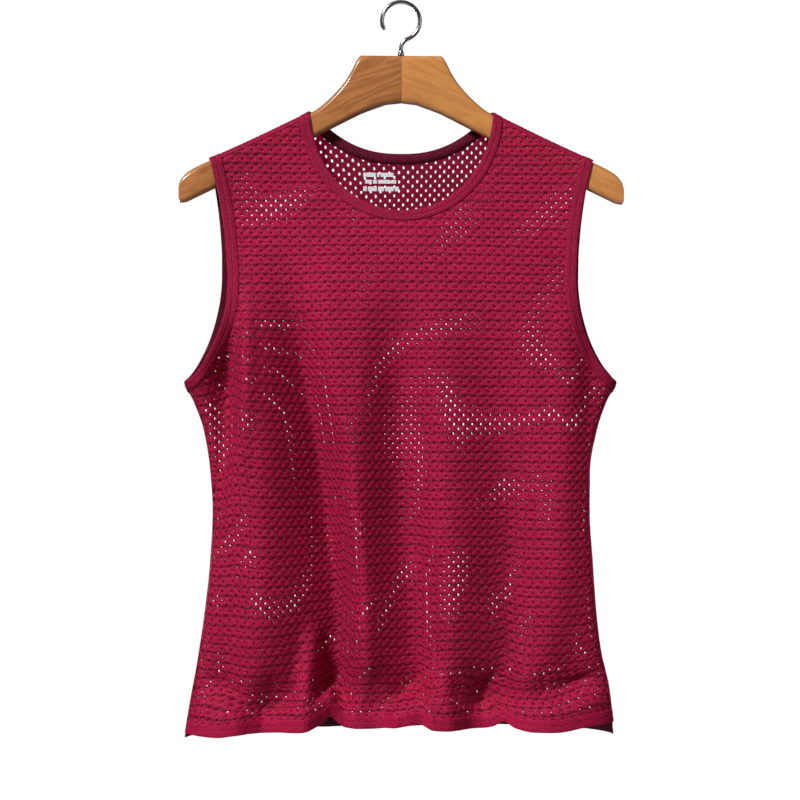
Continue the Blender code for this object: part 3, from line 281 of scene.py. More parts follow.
# The last stretch above the hem swings out to the stiffer hem band. A row says where along the
# hem, at which drop that begins, how much height it takes, how deep the hem lies behind its own
# even line there, and how far the hem is lifted.
HemRow = namedtuple("HemRow", "x start ledge depth lift")
FRONT_HEM = [
    HemRow(-0.215, 0.562, 0.044, 0.000, -0.002),
    HemRow(-0.185, 0.562, 0.044, 0.000, -0.003),
    HemRow(-0.165, 0.572, 0.034, 0.005, -0.001),
    HemRow(-0.150, 0.584, 0.026, 0.016, 0.000),
    HemRow(-0.138, 0.590, 0.020, 0.024, 0.000),
    HemRow(-0.124, 0.586, 0.022, 0.019, 0.001),
    HemRow(-0.110, 0.570, 0.036, 0.007, 0.002),
    HemRow(-0.098, 0.548, 0.058, 0.001, 0.003),
    HemRow(-0.086, 0.560, 0.046, 0.010, 0.007),
    HemRow(-0.078, 0.572, 0.034, 0.019, 0.011),
    HemRow(-0.0715, 0.576, 0.030, 0.026, 0.016),
    HemRow(-0.065, 0.580, 0.027, 0.030, 0.010),
    HemRow(-0.056, 0.586, 0.024, 0.032, 0.004),
    HemRow(-0.044, 0.590, 0.020, 0.027, 0.003),
    HemRow(-0.030, 0.592, 0.020, 0.028, 0.003),
    HemRow(-0.019, 0.590, 0.022, 0.026, 0.004),
    HemRow(-0.006, 0.584, 0.026, 0.009, 0.006),
    HemRow(0.006, 0.578, 0.030, 0.009, 0.008),
    HemRow(0.017, 0.568, 0.040, 0.011, 0.009),
    HemRow(0.029, 0.550, 0.056, 0.003, 0.004),
    HemRow(0.043, 0.556, 0.052, 0.003, 0.003),
    HemRow(0.056, 0.574, 0.034, 0.012, 0.003),
    HemRow(0.070, 0.590, 0.020, 0.026, 0.003),
    HemRow(0.080, 0.592, 0.018, 0.029, 0.003),
    HemRow(0.091, 0.586, 0.024, 0.026, 0.005),
    HemRow(0.101, 0.580, 0.030, 0.023, 0.010),
    HemRow(0.112, 0.578, 0.029, 0.015, 0.004),
    HemRow(0.130, 0.574, 0.032, 0.004, 0.001),
    HemRow(0.150, 0.572, 0.032, 0.000, 0.001),
    HemRow(0.185, 0.574, 0.030, 0.000, 0.006),
    HemRow(0.211, 0.572, 0.034, 0.000, 0.008),
]
BACK_HEM = [
    HemRow(-0.215, 0.560, 0.040, 0.000, -0.007),
    HemRow(-0.140, 0.566, 0.036, 0.000, -0.003),
    HemRow(-0.096, 0.574, 0.030, 0.008, -0.002),
    HemRow(-0.078, 0.578, 0.026, 0.016, -0.002),
    HemRow(-0.058, 0.574, 0.030, 0.004, -0.003),
    HemRow(-0.030, 0.570, 0.032, 0.000, -0.003),
    HemRow(0.004, 0.574, 0.030, 0.008, -0.003),
    HemRow(0.036, 0.568, 0.034, 0.000, -0.003),
    HemRow(0.068, 0.576, 0.028, 0.010, -0.002),
    HemRow(0.086, 0.578, 0.026, 0.016, -0.001),
    HemRow(0.106, 0.574, 0.030, 0.004, -0.002),
    HemRow(0.160, 0.568, 0.034, 0.000, -0.004),
    HemRow(0.211, 0.562, 0.038, 0.000, -0.004),
]
# The even line that the hem keeps to, in front of the open shape of the body.
HEM_FORWARD = 0.020

# The finished edge of an armhole, from the shoulder seam down to the side seam.
Edge = namedtuple("Edge", "drop x")
FRONT_ARMHOLE = [
    Edge(0.070, 0.1860),
    Edge(0.090, 0.1815),
    Edge(0.110, 0.1780),
    Edge(0.130, 0.1755),
    Edge(0.150, 0.1738),
    Edge(0.172, 0.1727),
    Edge(0.192, 0.1737),
    Edge(0.210, 0.1768),
    Edge(0.228, 0.1822),
    Edge(0.243, 0.1888),
    Edge(0.256, 0.1965),
    Edge(0.266, 0.2050),
]
BACK_ARMHOLE = [
    Edge(0.070, 0.1872),
    Edge(0.090, 0.1838),
    Edge(0.110, 0.1812),
    Edge(0.130, 0.1795),
    Edge(0.150, 0.1786),
    Edge(0.172, 0.1787),
    Edge(0.192, 0.1805),
    Edge(0.210, 0.1842),
    Edge(0.228, 0.1896),
    Edge(0.243, 0.1958),
    Edge(0.256, 0.2026),
    Edge(0.266, 0.2093),
]

# Fineness of the sheets that everything is laid on.
SHEET_STEP = 0.002
SHEET_SAMPLES = 361

# ------------------------------------------------------------------ interpolation
def column(rows, name):
    return np.array([getattr(row, name) for row in rows])


def smooth_step(value, low, high):
    part = np.clip((value - low) / (high - low), 0.0, 1.0)
    return part * part * (3 - 2 * part)


def through(xs, ys, at, level_ends=False):
    """A smooth curve through the points that never overshoots them."""
    xs, ys, at = np.asarray(xs, float), np.asarray(ys, float), np.asarray(at, float)
    chords = np.diff(ys) / np.diff(xs)
    before, after = chords[:-1], chords[1:]
    total = before + after
    level = (before * after <= 0) | (np.abs(total) < 1e-12)
    inner = np.where(level, 0.0, 2 * before * after / np.where(level, 1.0, total))
    first, last = (0.0, 0.0) if level_ends else (chords[0], chords[-1])
    slopes = np.concatenate([[first], inner, [last]])
    at = np.clip(at, xs[0], xs[-1])
    i = np.clip(np.searchsorted(xs, at) - 1, 0, len(xs) - 2)
    width = xs[i + 1] - xs[i]
    t = (at - xs[i]) / width
    return (
        ys[i] * (1 + 2 * t) * (1 - t) ** 2
        + ys[i + 1] * t * t * (3 - 2 * t)
        + width * t * (1 - t) * (slopes[i] * (1 - t) - slopes[i + 1] * t)
    )


def of_table(rows, name, at, key="drop"):
    return through(column(rows, key), column(rows, name), at, name == "depth" and key == "drop")


# ------------------------------------------------------------------ the sheets of cloth
def arm_depth(x):
    """Depth of the middle of the wooden arm, whose tips come forward."""
    return -ARM_SWEEP * (np.abs(x) / HANGER_HALF) ** 2


def shoulder_height(x):
    """Height of the cloth where it crosses the top of the arm."""
    reach = np.clip(np.abs(x), NECK_HALF - NECK_HUG, HANGER_HALF)
    return of_table(ARM, "top", reach, "x") + WOOD_CLEAR + CLOTH_WALL / 2


NECK_POINT = float(shoulder_height(NECK_HALF))


def shoulder_drop(x):
    return NECK_POINT - shoulder_height(x)


def notch(offset, left, right, crease):
    """One fold across the cloth: 1 on its line, 0 beyond its reach, sharp where crease is 1."""
    away = np.clip(np.abs(offset) / np.where(offset < 0, left, right), 0, 1)
    pointed = (np.sqrt(away**2 + 0.0025) - 0.05) / (math.sqrt(1.0025) - 0.05)
    rounded = np.cos(away * math.pi / 2) ** 2
    return rounded + ((1 - pointed) ** 1.25 - rounded) * crease


def fold_depth(folds, x, drop):
    total = np.zeros_like(x)
    for rows in folds.values():
        first, last = rows[0].drop, rows[-1].drop
        if not first < drop <= last + SHEET_STEP:
            continue
        line, depth, left, right, crease = (
            float(of_table(rows, name, drop)) for name in Fold._fields[1:]
        )
        total += depth * notch(x - line, left, right, crease)
    return total


def sheet_rows(side):
    """Points (x, y) of the panel's section at each drop, in one array for x and one for y."""
    facing = -1 if side == "front" else 1
    folds = FRONT_FOLDS if side == "front" else BACK_FOLDS
    hem = FRONT_HEM if side == "front" else BACK_HEM
    drops = np.arange(0.0, CLOTH_LENGTH + SHEET_STEP / 2, SHEET_STEP)
    spread = np.sin(np.linspace(-1, 1, SHEET_SAMPLES) * math.pi / 2)
    xs, ys = [], []
    for drop in drops:
        names = ("left", "right", side, "seam_left", "seam_right")
        left, right, middle, *seams = (float(of_table(SECTIONS, name, drop)) for name in names)
        x = (left + right) / 2 + spread * (right - left) / 2
        crown = np.sqrt(1 - np.abs(spread) ** np.where(spread < 0, *SECTION_POWERS))
        seam = np.where(spread < 0, *seams)
        even = seam + (middle - seam) * crown
        inward = 1 - np.abs(spread) ** 7
        folded = even - facing * fold_depth(folds, x, drop) * inward
        swung = 1 - np.abs(spread) ** 10
        hem_line = even + facing * swung * (HEM_FORWARD - of_table(hem, "depth", x, "x"))
        start = of_table(hem, "start", x, "x")
        swing = smooth_step(drop, start, start + of_table(hem, "ledge", x, "x"))
        body = folded + (hem_line - folded) * swing
        below = np.maximum(drop - shoulder_drop(x), 0)
        turn = np.sin(np.minimum(below / WRAP_RADIUS, math.pi / 2))
        over_arm = arm_depth(x) + facing * WRAP_RADIUS * turn
        near = [shoulder_drop(x + shift) for shift in (-0.045, -0.022, 0.0, 0.022, 0.045)]
        soft = smooth_step(drop - np.mean(near, axis=0), WRAP_LENGTH, SHOULDER_BLEND)
        hanging = soft * smooth_step(below, WRAP_LENGTH, WRAP_LENGTH + 0.03)
        xs.append(x)
        ys.append(over_arm + (body - arm_depth(x) - facing * WRAP_RADIUS) * hanging)
    return drops, np.array(xs), np.array(ys)


class Sheet:
    """One panel of cloth as a smooth surface over its cloth coordinates (across, drop)."""

    def __init__(self, side):
        self.side = side
        self.drops, xs, ys = sheet_rows(side)
        lengths = np.hypot(np.diff(xs, axis=1), np.diff(ys, axis=1))
        along = np.concatenate([np.zeros((len(xs), 1)), np.cumsum(lengths, axis=1)], axis=1)
        middle = [np.interp(0.0, x, s) for x, s in zip(xs, along)]
        along -= np.array(middle)[:, None]
        self.row_x, self.row_along = xs, along
        self.left, self.right = along[:, 0], along[:, -1]
        reach = max(-self.left.min(), self.right.max())
        count = 2 * int(math.ceil(reach / SHEET_STEP)) + 1
        self.across = np.linspace(-reach, reach, count)
        x = np.array([np.interp(self.across, s, row) for s, row in zip(along, xs)])
        y = np.array([np.interp(self.across, s, row) for s, row in zip(along, ys)])
        self.points = np.stack([x, y, self.heights(x, y)], axis=-1)

    def heights(self, x, y):
        """Heights that keep the cloth's length down each line, with the hem set to its table."""
        slope = np.gradient(x, SHEET_STEP, axis=0) ** 2 + np.gradient(y, SHEET_STEP, axis=0) ** 2
        fall = np.sqrt(np.clip(1 - slope, 0.05, 1))
        fallen = np.concatenate(
            [np.zeros((1, x.shape[1])), np.cumsum((fall[1:] + fall[:-1]) / 2, axis=0) * SHEET_STEP]
        )
        below = self.drops[:, None] - shoulder_drop(x)
        turn = np.clip(below / WRAP_RADIUS, 0, math.pi / 2)
        z = shoulder_height(x) - WRAP_RADIUS * (1 - np.cos(turn)) - np.minimum(below, 0)
        for i, start in enumerate(np.argmax(below >= WRAP_LENGTH, axis=0)):
            past = below[start, i] - WRAP_LENGTH
            z[start:, i] = z[start, i] - past - (fallen[start:, i] - fallen[start, i])
        even = (NECK_POINT + WRAP_LENGTH - WRAP_RADIUS - self.drops)[:, None]
        near_side = np.maximum(
            self.across / self.right[:, None], self.across / self.left[:, None]
        )
        below_arm = smooth_step(self.drops, UNDERARM_DROP - 0.12, UNDERARM_DROP - 0.01)[:, None]
        sideways = 0.65 + 0.35 * smooth_step(near_side, 0.80, 0.99)
        z += (even - z) * sideways * below_arm
        hem = FRONT_HEM if self.side == "front" else BACK_HEM
        target = even[-1, 0] + of_table(hem, "lift", x[-1], "x")
        return z + (target - z[-1])[None, :] * smooth_step(self.drops, 0.30, CLOTH_LENGTH)[:, None]

    def between_rows(self, value, drop, given, wanted):
        """Reads the wanted coordinate where the given one has this value, at each drop."""
        row = np.clip(np.ravel(drop) / SHEET_STEP, 0, len(self.drops) - 1.001)
        low = np.floor(row).astype(int)
        part = row - low
        values = [
            np.interp(v, given[i], wanted[i]) * (1 - p)
            + np.interp(v, given[i + 1], wanted[i + 1]) * p
            for v, i, p in zip(np.ravel(value), low, part)
        ]
        return np.reshape(values, np.shape(drop))

    def across_at(self, x, drop):
        """The cloth coordinate of points that are at this x."""
        return self.between_rows(x, drop, self.row_x, self.row_along)

    def x_at(self, across, drop):
        return self.between_rows(across, drop, self.row_along, self.row_x)

    def sides_at(self, drop):
        return np.interp(drop, self.drops, self.left), np.interp(drop, self.drops, self.right)

    def at(self, across, drop):
        """Points of the sheet, and the outward normals there."""
        grid = self.points
        col = np.clip((across - self.across[0]) / (self.across[1] - self.across[0]), 0, None)
        col = np.minimum(col, grid.shape[1] - 1.001)
        row = np.clip(drop / SHEET_STEP, 0, grid.shape[0] - 1.001)
        i, j = np.floor(row).astype(int), np.floor(col).astype(int)
        p, q = (row - i)[..., None], (col - j)[..., None]
        a, b, c, d = grid[i, j], grid[i, j + 1], grid[i + 1, j], grid[i + 1, j + 1]
        point = (a * (1 - q) + b * q) * (1 - p) + (c * (1 - q) + d * q) * p
        sideways = (b - a) * (1 - p) + (d - c) * p
        downward = (c - a) * (1 - q) + (d - b) * q
        normal = np.cross(sideways, downward)
        if self.side == "front":
            normal = -normal
        normal /= np.maximum(np.linalg.norm(normal, axis=-1, keepdims=True), 1e-12)
        facing = np.where(normal[..., 1:2] * (-1 if self.side == "front" else 1) < -0.5, -1, 1)
        return point, normal * facing


SHEETS = {side: Sheet(side) for side in ("front", "back")}


# ------------------------------------------------------------------ outlines on the sheets
def along_polyline(points, count):
    """Points at even steps along a polyline of rows (x, drop)."""
    points = np.asarray(points, float)
    length = np.concatenate([[0], np.cumsum(np.hypot(*np.diff(points, axis=0).T))])
    at = np.linspace(0, length[-1], count)
    return np.stack([np.interp(at, length, points[:, k]) for k in (0, 1)], axis=1)


def neck_edge(side, count):
    """The finished neck edge of the right half, from the shoulder seam to the middle."""
    angle = np.linspace(0, math.pi / 2, 60)
    if side == "front":
        x, drop = NECK_HALF * np.cos(angle), FRONT_NECK_DROP * np.sin(angle)
    else:
        x = NECK_HALF * np.cos(angle)
        drop = BACK_NECK_DROP * (1 - (x / NECK_HALF) ** BACK_NECK_POWER)
    return along_polyline(np.stack([x, drop], axis=1), count)


def side_at(mirror, drop):
    """How far the side of the body is from the middle; mirror is -1 at the left, 1 at the right."""
    return np.abs(of_table(SECTIONS, "left" if mirror < 0 else "right", drop))


def arm_edge(side, mirror, count):
    """The finished armhole edge of one half, from the shoulder seam to the side seam."""
    table = FRONT_ARMHOLE if side == "front" else BACK_ARMHOLE
    shoulder = Edge(float(shoulder_drop(SHOULDER_HALF)), SHOULDER_HALF)
    underarm = Edge(UNDERARM_DROP, float(side_at(mirror, UNDERARM_DROP)))
    rows = [shoulder, *table, underarm]
    steps = np.arange(len(rows), dtype=float)
    at = np.linspace(0, len(rows) - 1, 120)
    x = through(steps, column(rows, "x"), at)
    drop = through(steps, column(rows, "drop"), at)
    return along_polyline(np.stack([x, drop], axis=1), count)


def set_in(edge, width, start, end):
    """The edge moved into the panel by width; start and end are its directions at the seams."""
    along = np.gradient(edge, axis=0)
    normal = np.stack([-along[:, 1], along[:, 0]], axis=1)
    normal /= np.linalg.norm(normal, axis=1, keepdims=True)
    if normal[len(normal) // 2] @ np.asarray(start) < 0:
        normal = -normal
    part = np.linspace(0, 1, len(edge))[:, None]
    at_start = 1 - smooth_step(part, 0.0, 0.16)
    at_end = smooth_step(part, 0.84, 1.0)
    lean = normal * (1 - at_start) + np.asarray(start) * at_start
    lean = lean * (1 - at_end) + np.asarray(end) * at_end
    return edge + width * lean


def seam_direction(x, sign):
    """Unit step along the shoulder seam, away from the neck if sign is 1."""
    rise = float(shoulder_drop(x + 0.002) - shoulder_drop(x)) / 0.002
    step = np.array([1.0, rise]) * sign
    return step / np.linalg.norm(step)


def on_sheet(side, x, drop):
    """Points and normals of a panel at (x, drop); what rises past the arm's top is in front."""
    x, drop = np.asarray(x, float), np.asarray(drop, float)
    below = drop - shoulder_drop(x)
    crossed = (below < 0) & (side == "back")
    point, normal = sheet_place(SHEETS[side], x, np.maximum(drop, 0))
    if crossed.any():
        mirrored = np.maximum(drop - 2 * below, 0)
        other_point, other_normal = sheet_place(SHEETS["front"], x, mirrored)
        point = np.where(crossed[:, None], other_point, point)
        normal = np.where(crossed[:, None], other_normal, normal)
    return point, normal


def sheet_place(sheet, x, drop):
    low, high = sheet.sides_at(drop)
    inset = SEAM_GAP / 2
    return sheet.at(np.clip(sheet.across_at(x, drop), low + inset, high - inset), drop)


# ------------------------------------------------------------------ looks: sizes
HOLE_PITCH = 0.0096
HOLE_ROW = 0.00462
# Half the width and height of a hole: stretched a little wider in the back.
HOLE_SIZE = {"front": (0.00097, 0.00140), "back": (0.00115, 0.00163)}
# Every second row of holes lies in a shallow groove, and the rows between them on a ridge.
RIDGE_PRESS = -0.00005
GROOVE_PRESS = 0.00032
# The six corners of a hole, in the order of its cell's corners: top three, then bottom three.
HOLE_SHAPE = ((-0.85, -0.5), (0.0, -1.0), (0.85, -0.5), (0.85, 0.5), (0.0, 1.0), (-0.85, 0.5))
NET_WALL = 0.0008
NET_TOP = 0.004
ROWS_ABOVE = 4
NET_TUCK = 0.005
SIDE_GAP = 0.0001
SIDE_REACH = 0.0032
# The shoulder seam lies this far in front of the top of the arm.
SEAM_FORWARD = 0.008

# The back's net is out of step with the front's. It starts part of a cell off, its lines lean
# down the cloth, its rows are skewed and bowed, and it is eased in a slow wave.
NET_START = (-0.012, 0.001)
NET_LEAN = 0.040
NET_SKEW = -0.030
NET_BOW = 0.006
NET_BOW_REACH = 0.20
NET_EASE = 0.003
NET_EASE_LENGTH = 0.23
NET_STEADY = (0.56, 0.60)

PRINT_LEFT = -0.0375
PRINT_SPACE = 0.0012
# Rows of bars: the drop, the height and the widths of the bars.
PRINT_ROWS = (
    (0.0630, 0.0042, (0.0125, 0.0025, 0.0130)),
    (0.0700, 0.0038, (0.0065, 0.0040, 0.0120, 0.0050)),
    (0.0768, 0.0046, (0.0035, 0.0090, 0.0060, 0.0085, 0.0040)),
)

# ------------------------------------------------------------------ looks: colours and light
NET_COLOUR = (0.42, 0.0025, 0.046)
# The inside of the net: a darker copy of its colour as painted shade, with a painted glow (an emission in the
# same colour) that stands in for light coming through the cloth.
NET_INSIDE_PAINTED_SHADE = (0.13, 0.0009, 0.016)
INSIDE_PAINTED_GLOW = 0.75
BAND_COLOUR = (0.31, 0.002, 0.038)
# The insides of the bindings: a darker copy of their colour, painted shade.
BAND_INSIDE_PAINTED_SHADE = (0.12, 0.002, 0.018)
HEM_COLOUR = (0.43, 0.002, 0.050)
# The inside of the hems: a greyer dark, painted shade.
HEM_INSIDE_PAINTED_SHADE = (0.11, 0.022, 0.040)
# Pink of the sheen, and of the painted sparkle highlights mixed into the knit's colour.
NET_PINK = (0.80, 0.18, 0.34)
PRINT_COLOUR = (0.90, 0.92, 0.97)
PRINT_WORN = (0.72, 0.60, 0.66)
THREAD_COLOUR = (0.46, 0.010, 0.060)
# The two wooden halves, each a lighter ground with a darker figure. The left half is painted darker and the
# right lighter: painted shade and painted light for how the halves turn from the key light, besides their own
# grain.
WOOD_LEFT_SHADED_GROUND = (0.57, 0.225, 0.070)
WOOD_LEFT_SHADED_FIGURE = (0.29, 0.095, 0.026)
WOOD_RIGHT_LIT_GROUND = (0.72, 0.30, 0.085)
WOOD_RIGHT_LIT_FIGURE = (0.46, 0.160, 0.040)
BACKDROP = 1.0
SKY_LIGHT = 0.06
LIGHTS = (
    ("key", (-2.86, -3.43, 3.13), 0.92, 350.0),
    ("fill", (1.9, -1.5, 0.1), 1.4, 6.0),
    ("back", (-0.9, 3.6, -0.5), 1.2, 60.0),
)
CAMERA_TURN = -3.0
CAMERA_AIM = (-0.001, 0.0, -0.396)
CAMERA_FAR = 2.4
PICTURE_WIDTH = 0.80
FLOOR_LEVEL = -1.90

# ------------------------------------------------------------------ making objects
def wave(seed, count=1):
    """Even-looking numbers between 0 and 1 that are the same on every run."""
    state = np.random.default_rng(seed)
    return state.random(count)


def made_object(name, vertices, faces, finish, node=None, smooth=True, uvs=None):
    """A finished piece from its points and faces; node is the CAD node it stands for."""
    mesh = bpy.data.meshes.new(name)
    mesh.from_pydata([tuple(v) for v in vertices], [], [tuple(f) for f in faces])
    mesh.validate(verbose=False)
    mesh.update()
    if uvs is not None:
        layer = mesh.uv_layers.new(name="cloth")
        index = np.empty(len(mesh.loops), dtype=np.int32)
        mesh.loops.foreach_get("vertex_index", index)
        layer.data.foreach_set("uv", np.asarray(uvs, dtype=np.float32)[index].ravel())
    mesh.materials.append(finish)
    mesh.polygons.foreach_set("use_smooth", [smooth] * len(mesh.polygons))
    made = bpy.data.objects.new(name, mesh)
    bpy.context.scene.collection.objects.link(made)
    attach(made, "root")
    if node:
        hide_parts(node)
    return made


def paint_inside_shade(made, inside, faces):
    """Gives the faces on the inside of a piece a second material: painted shade, a darker copy of its cloth
    for the shade inside the garment.
    """
    made.data.materials.append(inside)
    for index in faces:
        made.data.polygons[index].material_index = 1


def strip_solid(name, rings, finish, closed, node=None, uvs=None):
    """A solid through rings of points; closed joins the last ring to the first."""
    rings = np.asarray(rings, float)
    count, around = rings.shape[:2]
    faces = []
    for i in range(count if closed else count - 1):
        one, two = i * around, ((i + 1) % count) * around
        for k in range(around):
            j = (k + 1) % around
            faces.append((one + k, one + j, two + j, two + k))
    if not closed:
        faces.append(tuple(range(around))[::-1])
        faces.append(tuple((count - 1) * around + k for k in range(around)))
    made = made_object(name, rings.reshape(-1, 3), faces, finish, node, uvs=uvs)
    outward(made)
    return made


def outward(made):
    bm = bmesh.new()
    bm.from_mesh(made.data)
    bmesh.ops.recalc_face_normals(bm, faces=bm.faces)
    bm.to_mesh(made.data)
    bm.free()


# ------------------------------------------------------------------ the net
def inside_polygon(x, y, polygon):
    """Which of the points are inside the closed polygon."""
    inside = np.zeros(x.shape, dtype=bool)
    px, py = polygon[:, 0], polygon[:, 1]
    for i in range(len(polygon)):
        x0, y0, x1, y1 = px[i - 1], py[i - 1], px[i], py[i]
        if y0 == y1:
            continue
        crosses = (y0 > y) != (y1 > y)
        inside ^= crosses & (x < (x1 - x0) * (y - y0) / (y1 - y0) + x0)
    return inside


def tucked(kind, side, mirror):
    """The line inside a binding to which the net reaches, as rows (x, drop)."""
    if kind == "neck":
        edge, width = neck_edge(side, 160), NECK_BAND
        start = seam_direction(NECK_HALF, 1)
    else:
        edge, width = arm_edge(side, mirror, 160), ARM_BAND
        start = seam_direction(SHOULDER_HALF - 0.002, -1)
    rows = set_in(edge, width - NET_TUCK, start, (0.0, 1.0))
    return rows * np.array([mirror, 1.0])


def cut_away(side, x, drop):
    """Which places are outside the cut of a panel: in the neck, an armhole or over the arm."""
    neck = [tucked("neck", side, mirror) for mirror in (1, -1)]
    hole = np.vstack([neck[0], neck[1][::-1], [[-NECK_HALF, -0.2], [NECK_HALF, -0.2]]])
    gone = inside_polygon(x, drop, hole)
    for mirror in (1, -1):
        arm = tucked("armhole", side, mirror)
        end = np.array([[0.4 * mirror, arm[-1, 1]], [0.4 * mirror, -0.2], [arm[0, 0], -0.2]])
        gone |= inside_polygon(x, drop, np.vstack([arm, end]))
    return gone | (drop - shoulder_drop(x) < NET_TUCK)


def drift_at(across, drop):
    """How far the back's net lies to the side of and below its even place."""
    ease = NET_EASE * np.sin(2 * math.pi * (drop + across) / NET_EASE_LENGTH)
    sideways = NET_START[0] + NET_LEAN * drop + ease
    downward = NET_START[1] + NET_SKEW * across + NET_BOW * (across / NET_BOW_REACH) ** 2
    return sideways, downward * (1 - smooth_step(drop, *NET_STEADY))


def drifted(across, drop):
    """Places on the back's cloth of points of its even net."""
    at_across, at_drop = across, drop
    for _ in range(5):
        sideways, downward = drift_at(at_across, at_drop)
        at_across, at_drop = across + sideways, drop + downward
    return at_across, at_drop


class NetRows:
    """The lines of points between rows of holes, with their ends on the side seams."""

    def __init__(self, side):
        self.sheet = SHEETS[side]
        self.half = HOLE_PITCH / 2
        rows = np.arange(-ROWS_ABOVE, int((CLOTH_LENGTH - HEM_BAND + NET_TUCK) / HOLE_ROW) + 1)
        self.drops = NET_TOP + rows * HOLE_ROW
        self.drops = self.drops[self.drops < CLOTH_LENGTH - HEM_BAND + NET_TUCK + HOLE_ROW]
        low, high = self.sheet.sides_at(self.drops)
        low, high = low + SIDE_GAP, high - SIDE_GAP
        if side == "back":
            low, high = (end - drift_at(end, self.drops)[0] for end in (low, high))
        self.first = np.ceil((low + self.half * 0.35) / self.half).astype(int) - 1
        self.last = np.floor((high - self.half * 0.35) / self.half).astype(int) + 1
        self.low, self.high = low, high

    def across(self, row, step):
        value = step * self.half
        if step >= self.last[row]:
            return self.high[row]
        if step <= self.first[row]:
            return self.low[row]
        return value


def net_cells(side):
    """Flat net: points (across, drop, press) and faces, with a hexagonal hole in each cell."""
    rows = NetRows(side)
    half_width, half_height = HOLE_SIZE[side]
    points, index, faces, tips = [], {}, [], []

    def corner(row, step):
        key = (row, step)
        if key not in index:
            index[key] = len(points)
            points.append((rows.across(row, step), rows.drops[row], 0.0))
            if not rows.first[row] < step < rows.last[row]:
                tips.append(index[key])
        return index[key]

    cells, centres = [], []
    for row in range(len(rows.drops) - 1):
        low = max(rows.first[row], rows.first[row + 1])
        high = min(rows.last[row], rows.last[row + 1])
        start = low + (low + row) % 2
        for step in range(start, high - 1, 2):
            cells.append((row, step))
            centres.append(((step + 1) * rows.half, rows.drops[row] + HOLE_ROW / 2))
        for ends, sign in ((rows.first, -1), (rows.last, 1)):
            edge = start if sign < 0 else start + 2 * ((high - start) // 2)
            upper = list(range(edge, ends[row] + sign, sign))
            lower = list(range(edge, ends[row + 1] + sign, sign))
            if len(upper) + len(lower) < 3 or rows.drops[row] < UNDERARM_DROP - 0.03:
                continue
            cells.append((row, upper, lower))
            centres.append((rows.across(row, upper[-1]), rows.drops[row] + HOLE_ROW / 2))
    centres = np.array(centres)
    placed = centres.T if side == "front" else drifted(*centres.T)
    gone = cut_away(side, rows.sheet.x_at(*placed), placed[1])
    jitter = wave(11 if side == "front" else 23, 3 * len(cells)).reshape(-1, 3) - 0.5
    for cell, centre, lost, shift in zip(cells, centres, gone, jitter):
        if lost:
            continue
        row = cell[0]
        if len(cell) == 3:
            ring = [corner(row, step) for step in cell[1]]
            ring += [corner(row + 1, step) for step in reversed(cell[2])]
            if len(ring) > 2:
                faces.append(tuple(ring))
            continue
        step = cell[1]
        border = [corner(row, step + k) for k in (0, 1, 2)]
        border += [corner(row + 1, step + k) for k in (2, 1, 0)]
        wide = points[border[2]][0] - points[border[0]][0]
        if wide < HOLE_PITCH * 0.7:
            faces.append(tuple(border))
            continue
        middle = (points[border[0]][0] + points[border[2]][0]) / 2 + shift[0] * 0.0004
        level = centre[1] + shift[1] * 0.0003
        grow = 1 + 0.16 * shift[2]
        base = len(points)
        for sideways, down in HOLE_SHAPE:
            points.append(
                (
                    middle + sideways * half_width * grow,
                    level + down * half_height * grow,
                    GROOVE_PRESS if row % 2 else RIDGE_PRESS,
                )
            )
        for k in range(6):
            j = (k + 1) % 6
            faces.append((border[k], border[j], base + j, base + k))
    return np.array(points), faces, np.array(tips)


def net(side, name, finish, inside):
    """One panel as a net of real thickness, with every hole cut through."""
    sheet = SHEETS[side]
    flat, faces, tips = net_cells(side)
    across, drop, press = flat.T
    uvs = np.stack([across, drop], axis=1)
    if side == "back":
        across, drop = drifted(across, drop)
        across[tips] = np.sign(across[tips])
    low, high = sheet.sides_at(drop)
    place, normal = sheet.at(np.clip(across, low + SIDE_GAP, high - SIDE_GAP), drop)
    out = place + normal * (NET_WALL / 2 - press)[:, None]
    back = place - normal * (NET_WALL / 2 - np.abs(press) * 0.4)[:, None]
    count = len(flat)
    turned = side == "front"
    solid = [f[::-1] if turned else f for f in faces]
    solid += [tuple(v + count for v in (f if turned else f[::-1])) for f in faces]
    edges = {}
    for f in faces:
        for a, b in zip(f, f[1:] + f[:1]):
            edges[(a, b)] = True
    for a, b in edges:
        if (b, a) not in edges:
            rim = (a, b, b + count, a + count)
            solid.append(rim if turned else rim[::-1])
    made = made_object(
        name,
        np.concatenate([out, back]),
        solid,
        finish,
        "front_panel" if side == "front" else "back_panel",
        uvs=np.concatenate([uvs, uvs]),
    )
    # The inner faces take the painted-shade inside material, which also has the painted glow.
    paint_inside_shade(made, inside, range(len(faces), 2 * len(faces)))
    return made


# ------------------------------------------------------------------ bindings, hems and seams
def fine_lines(kind, side, mirror, count):
    """Rows (x, drop) of a binding's finished edge and sewn edge, from the top of the arm down."""
    if kind == "neck":
        edge, width = neck_edge(side, count), NECK_BAND
        start = seam_direction(NECK_HALF, 1)
    else:
        edge, width = arm_edge(side, mirror, count), ARM_BAND
        start = seam_direction(SHOULDER_HALF - 0.002, -1)
    return edge, set_in(edge, width, start, (0.0, 1.0))


def profiled(side, edge, inner, mirror, profile, ripple=None):
    """Rings of points whose section follows the profile: part of the width, then height."""
    lanes = []
    for part, height in profile:
        rows = edge + (inner - edge) * part
        place, normal = on_sheet(side, rows[:, 0] * mirror, rows[:, 1])
        rise = height if ripple is None else height + ripple * (1 if height > 0 else 0)
        lanes.append(place + normal * np.reshape(rise, (-1, 1)))
    return np.stack(lanes, axis=1)


def band_profile(outer, inner_face):
    """A closed section: along the outside from the finished edge, and back along the inside."""
    return [*outer, *inner_face]


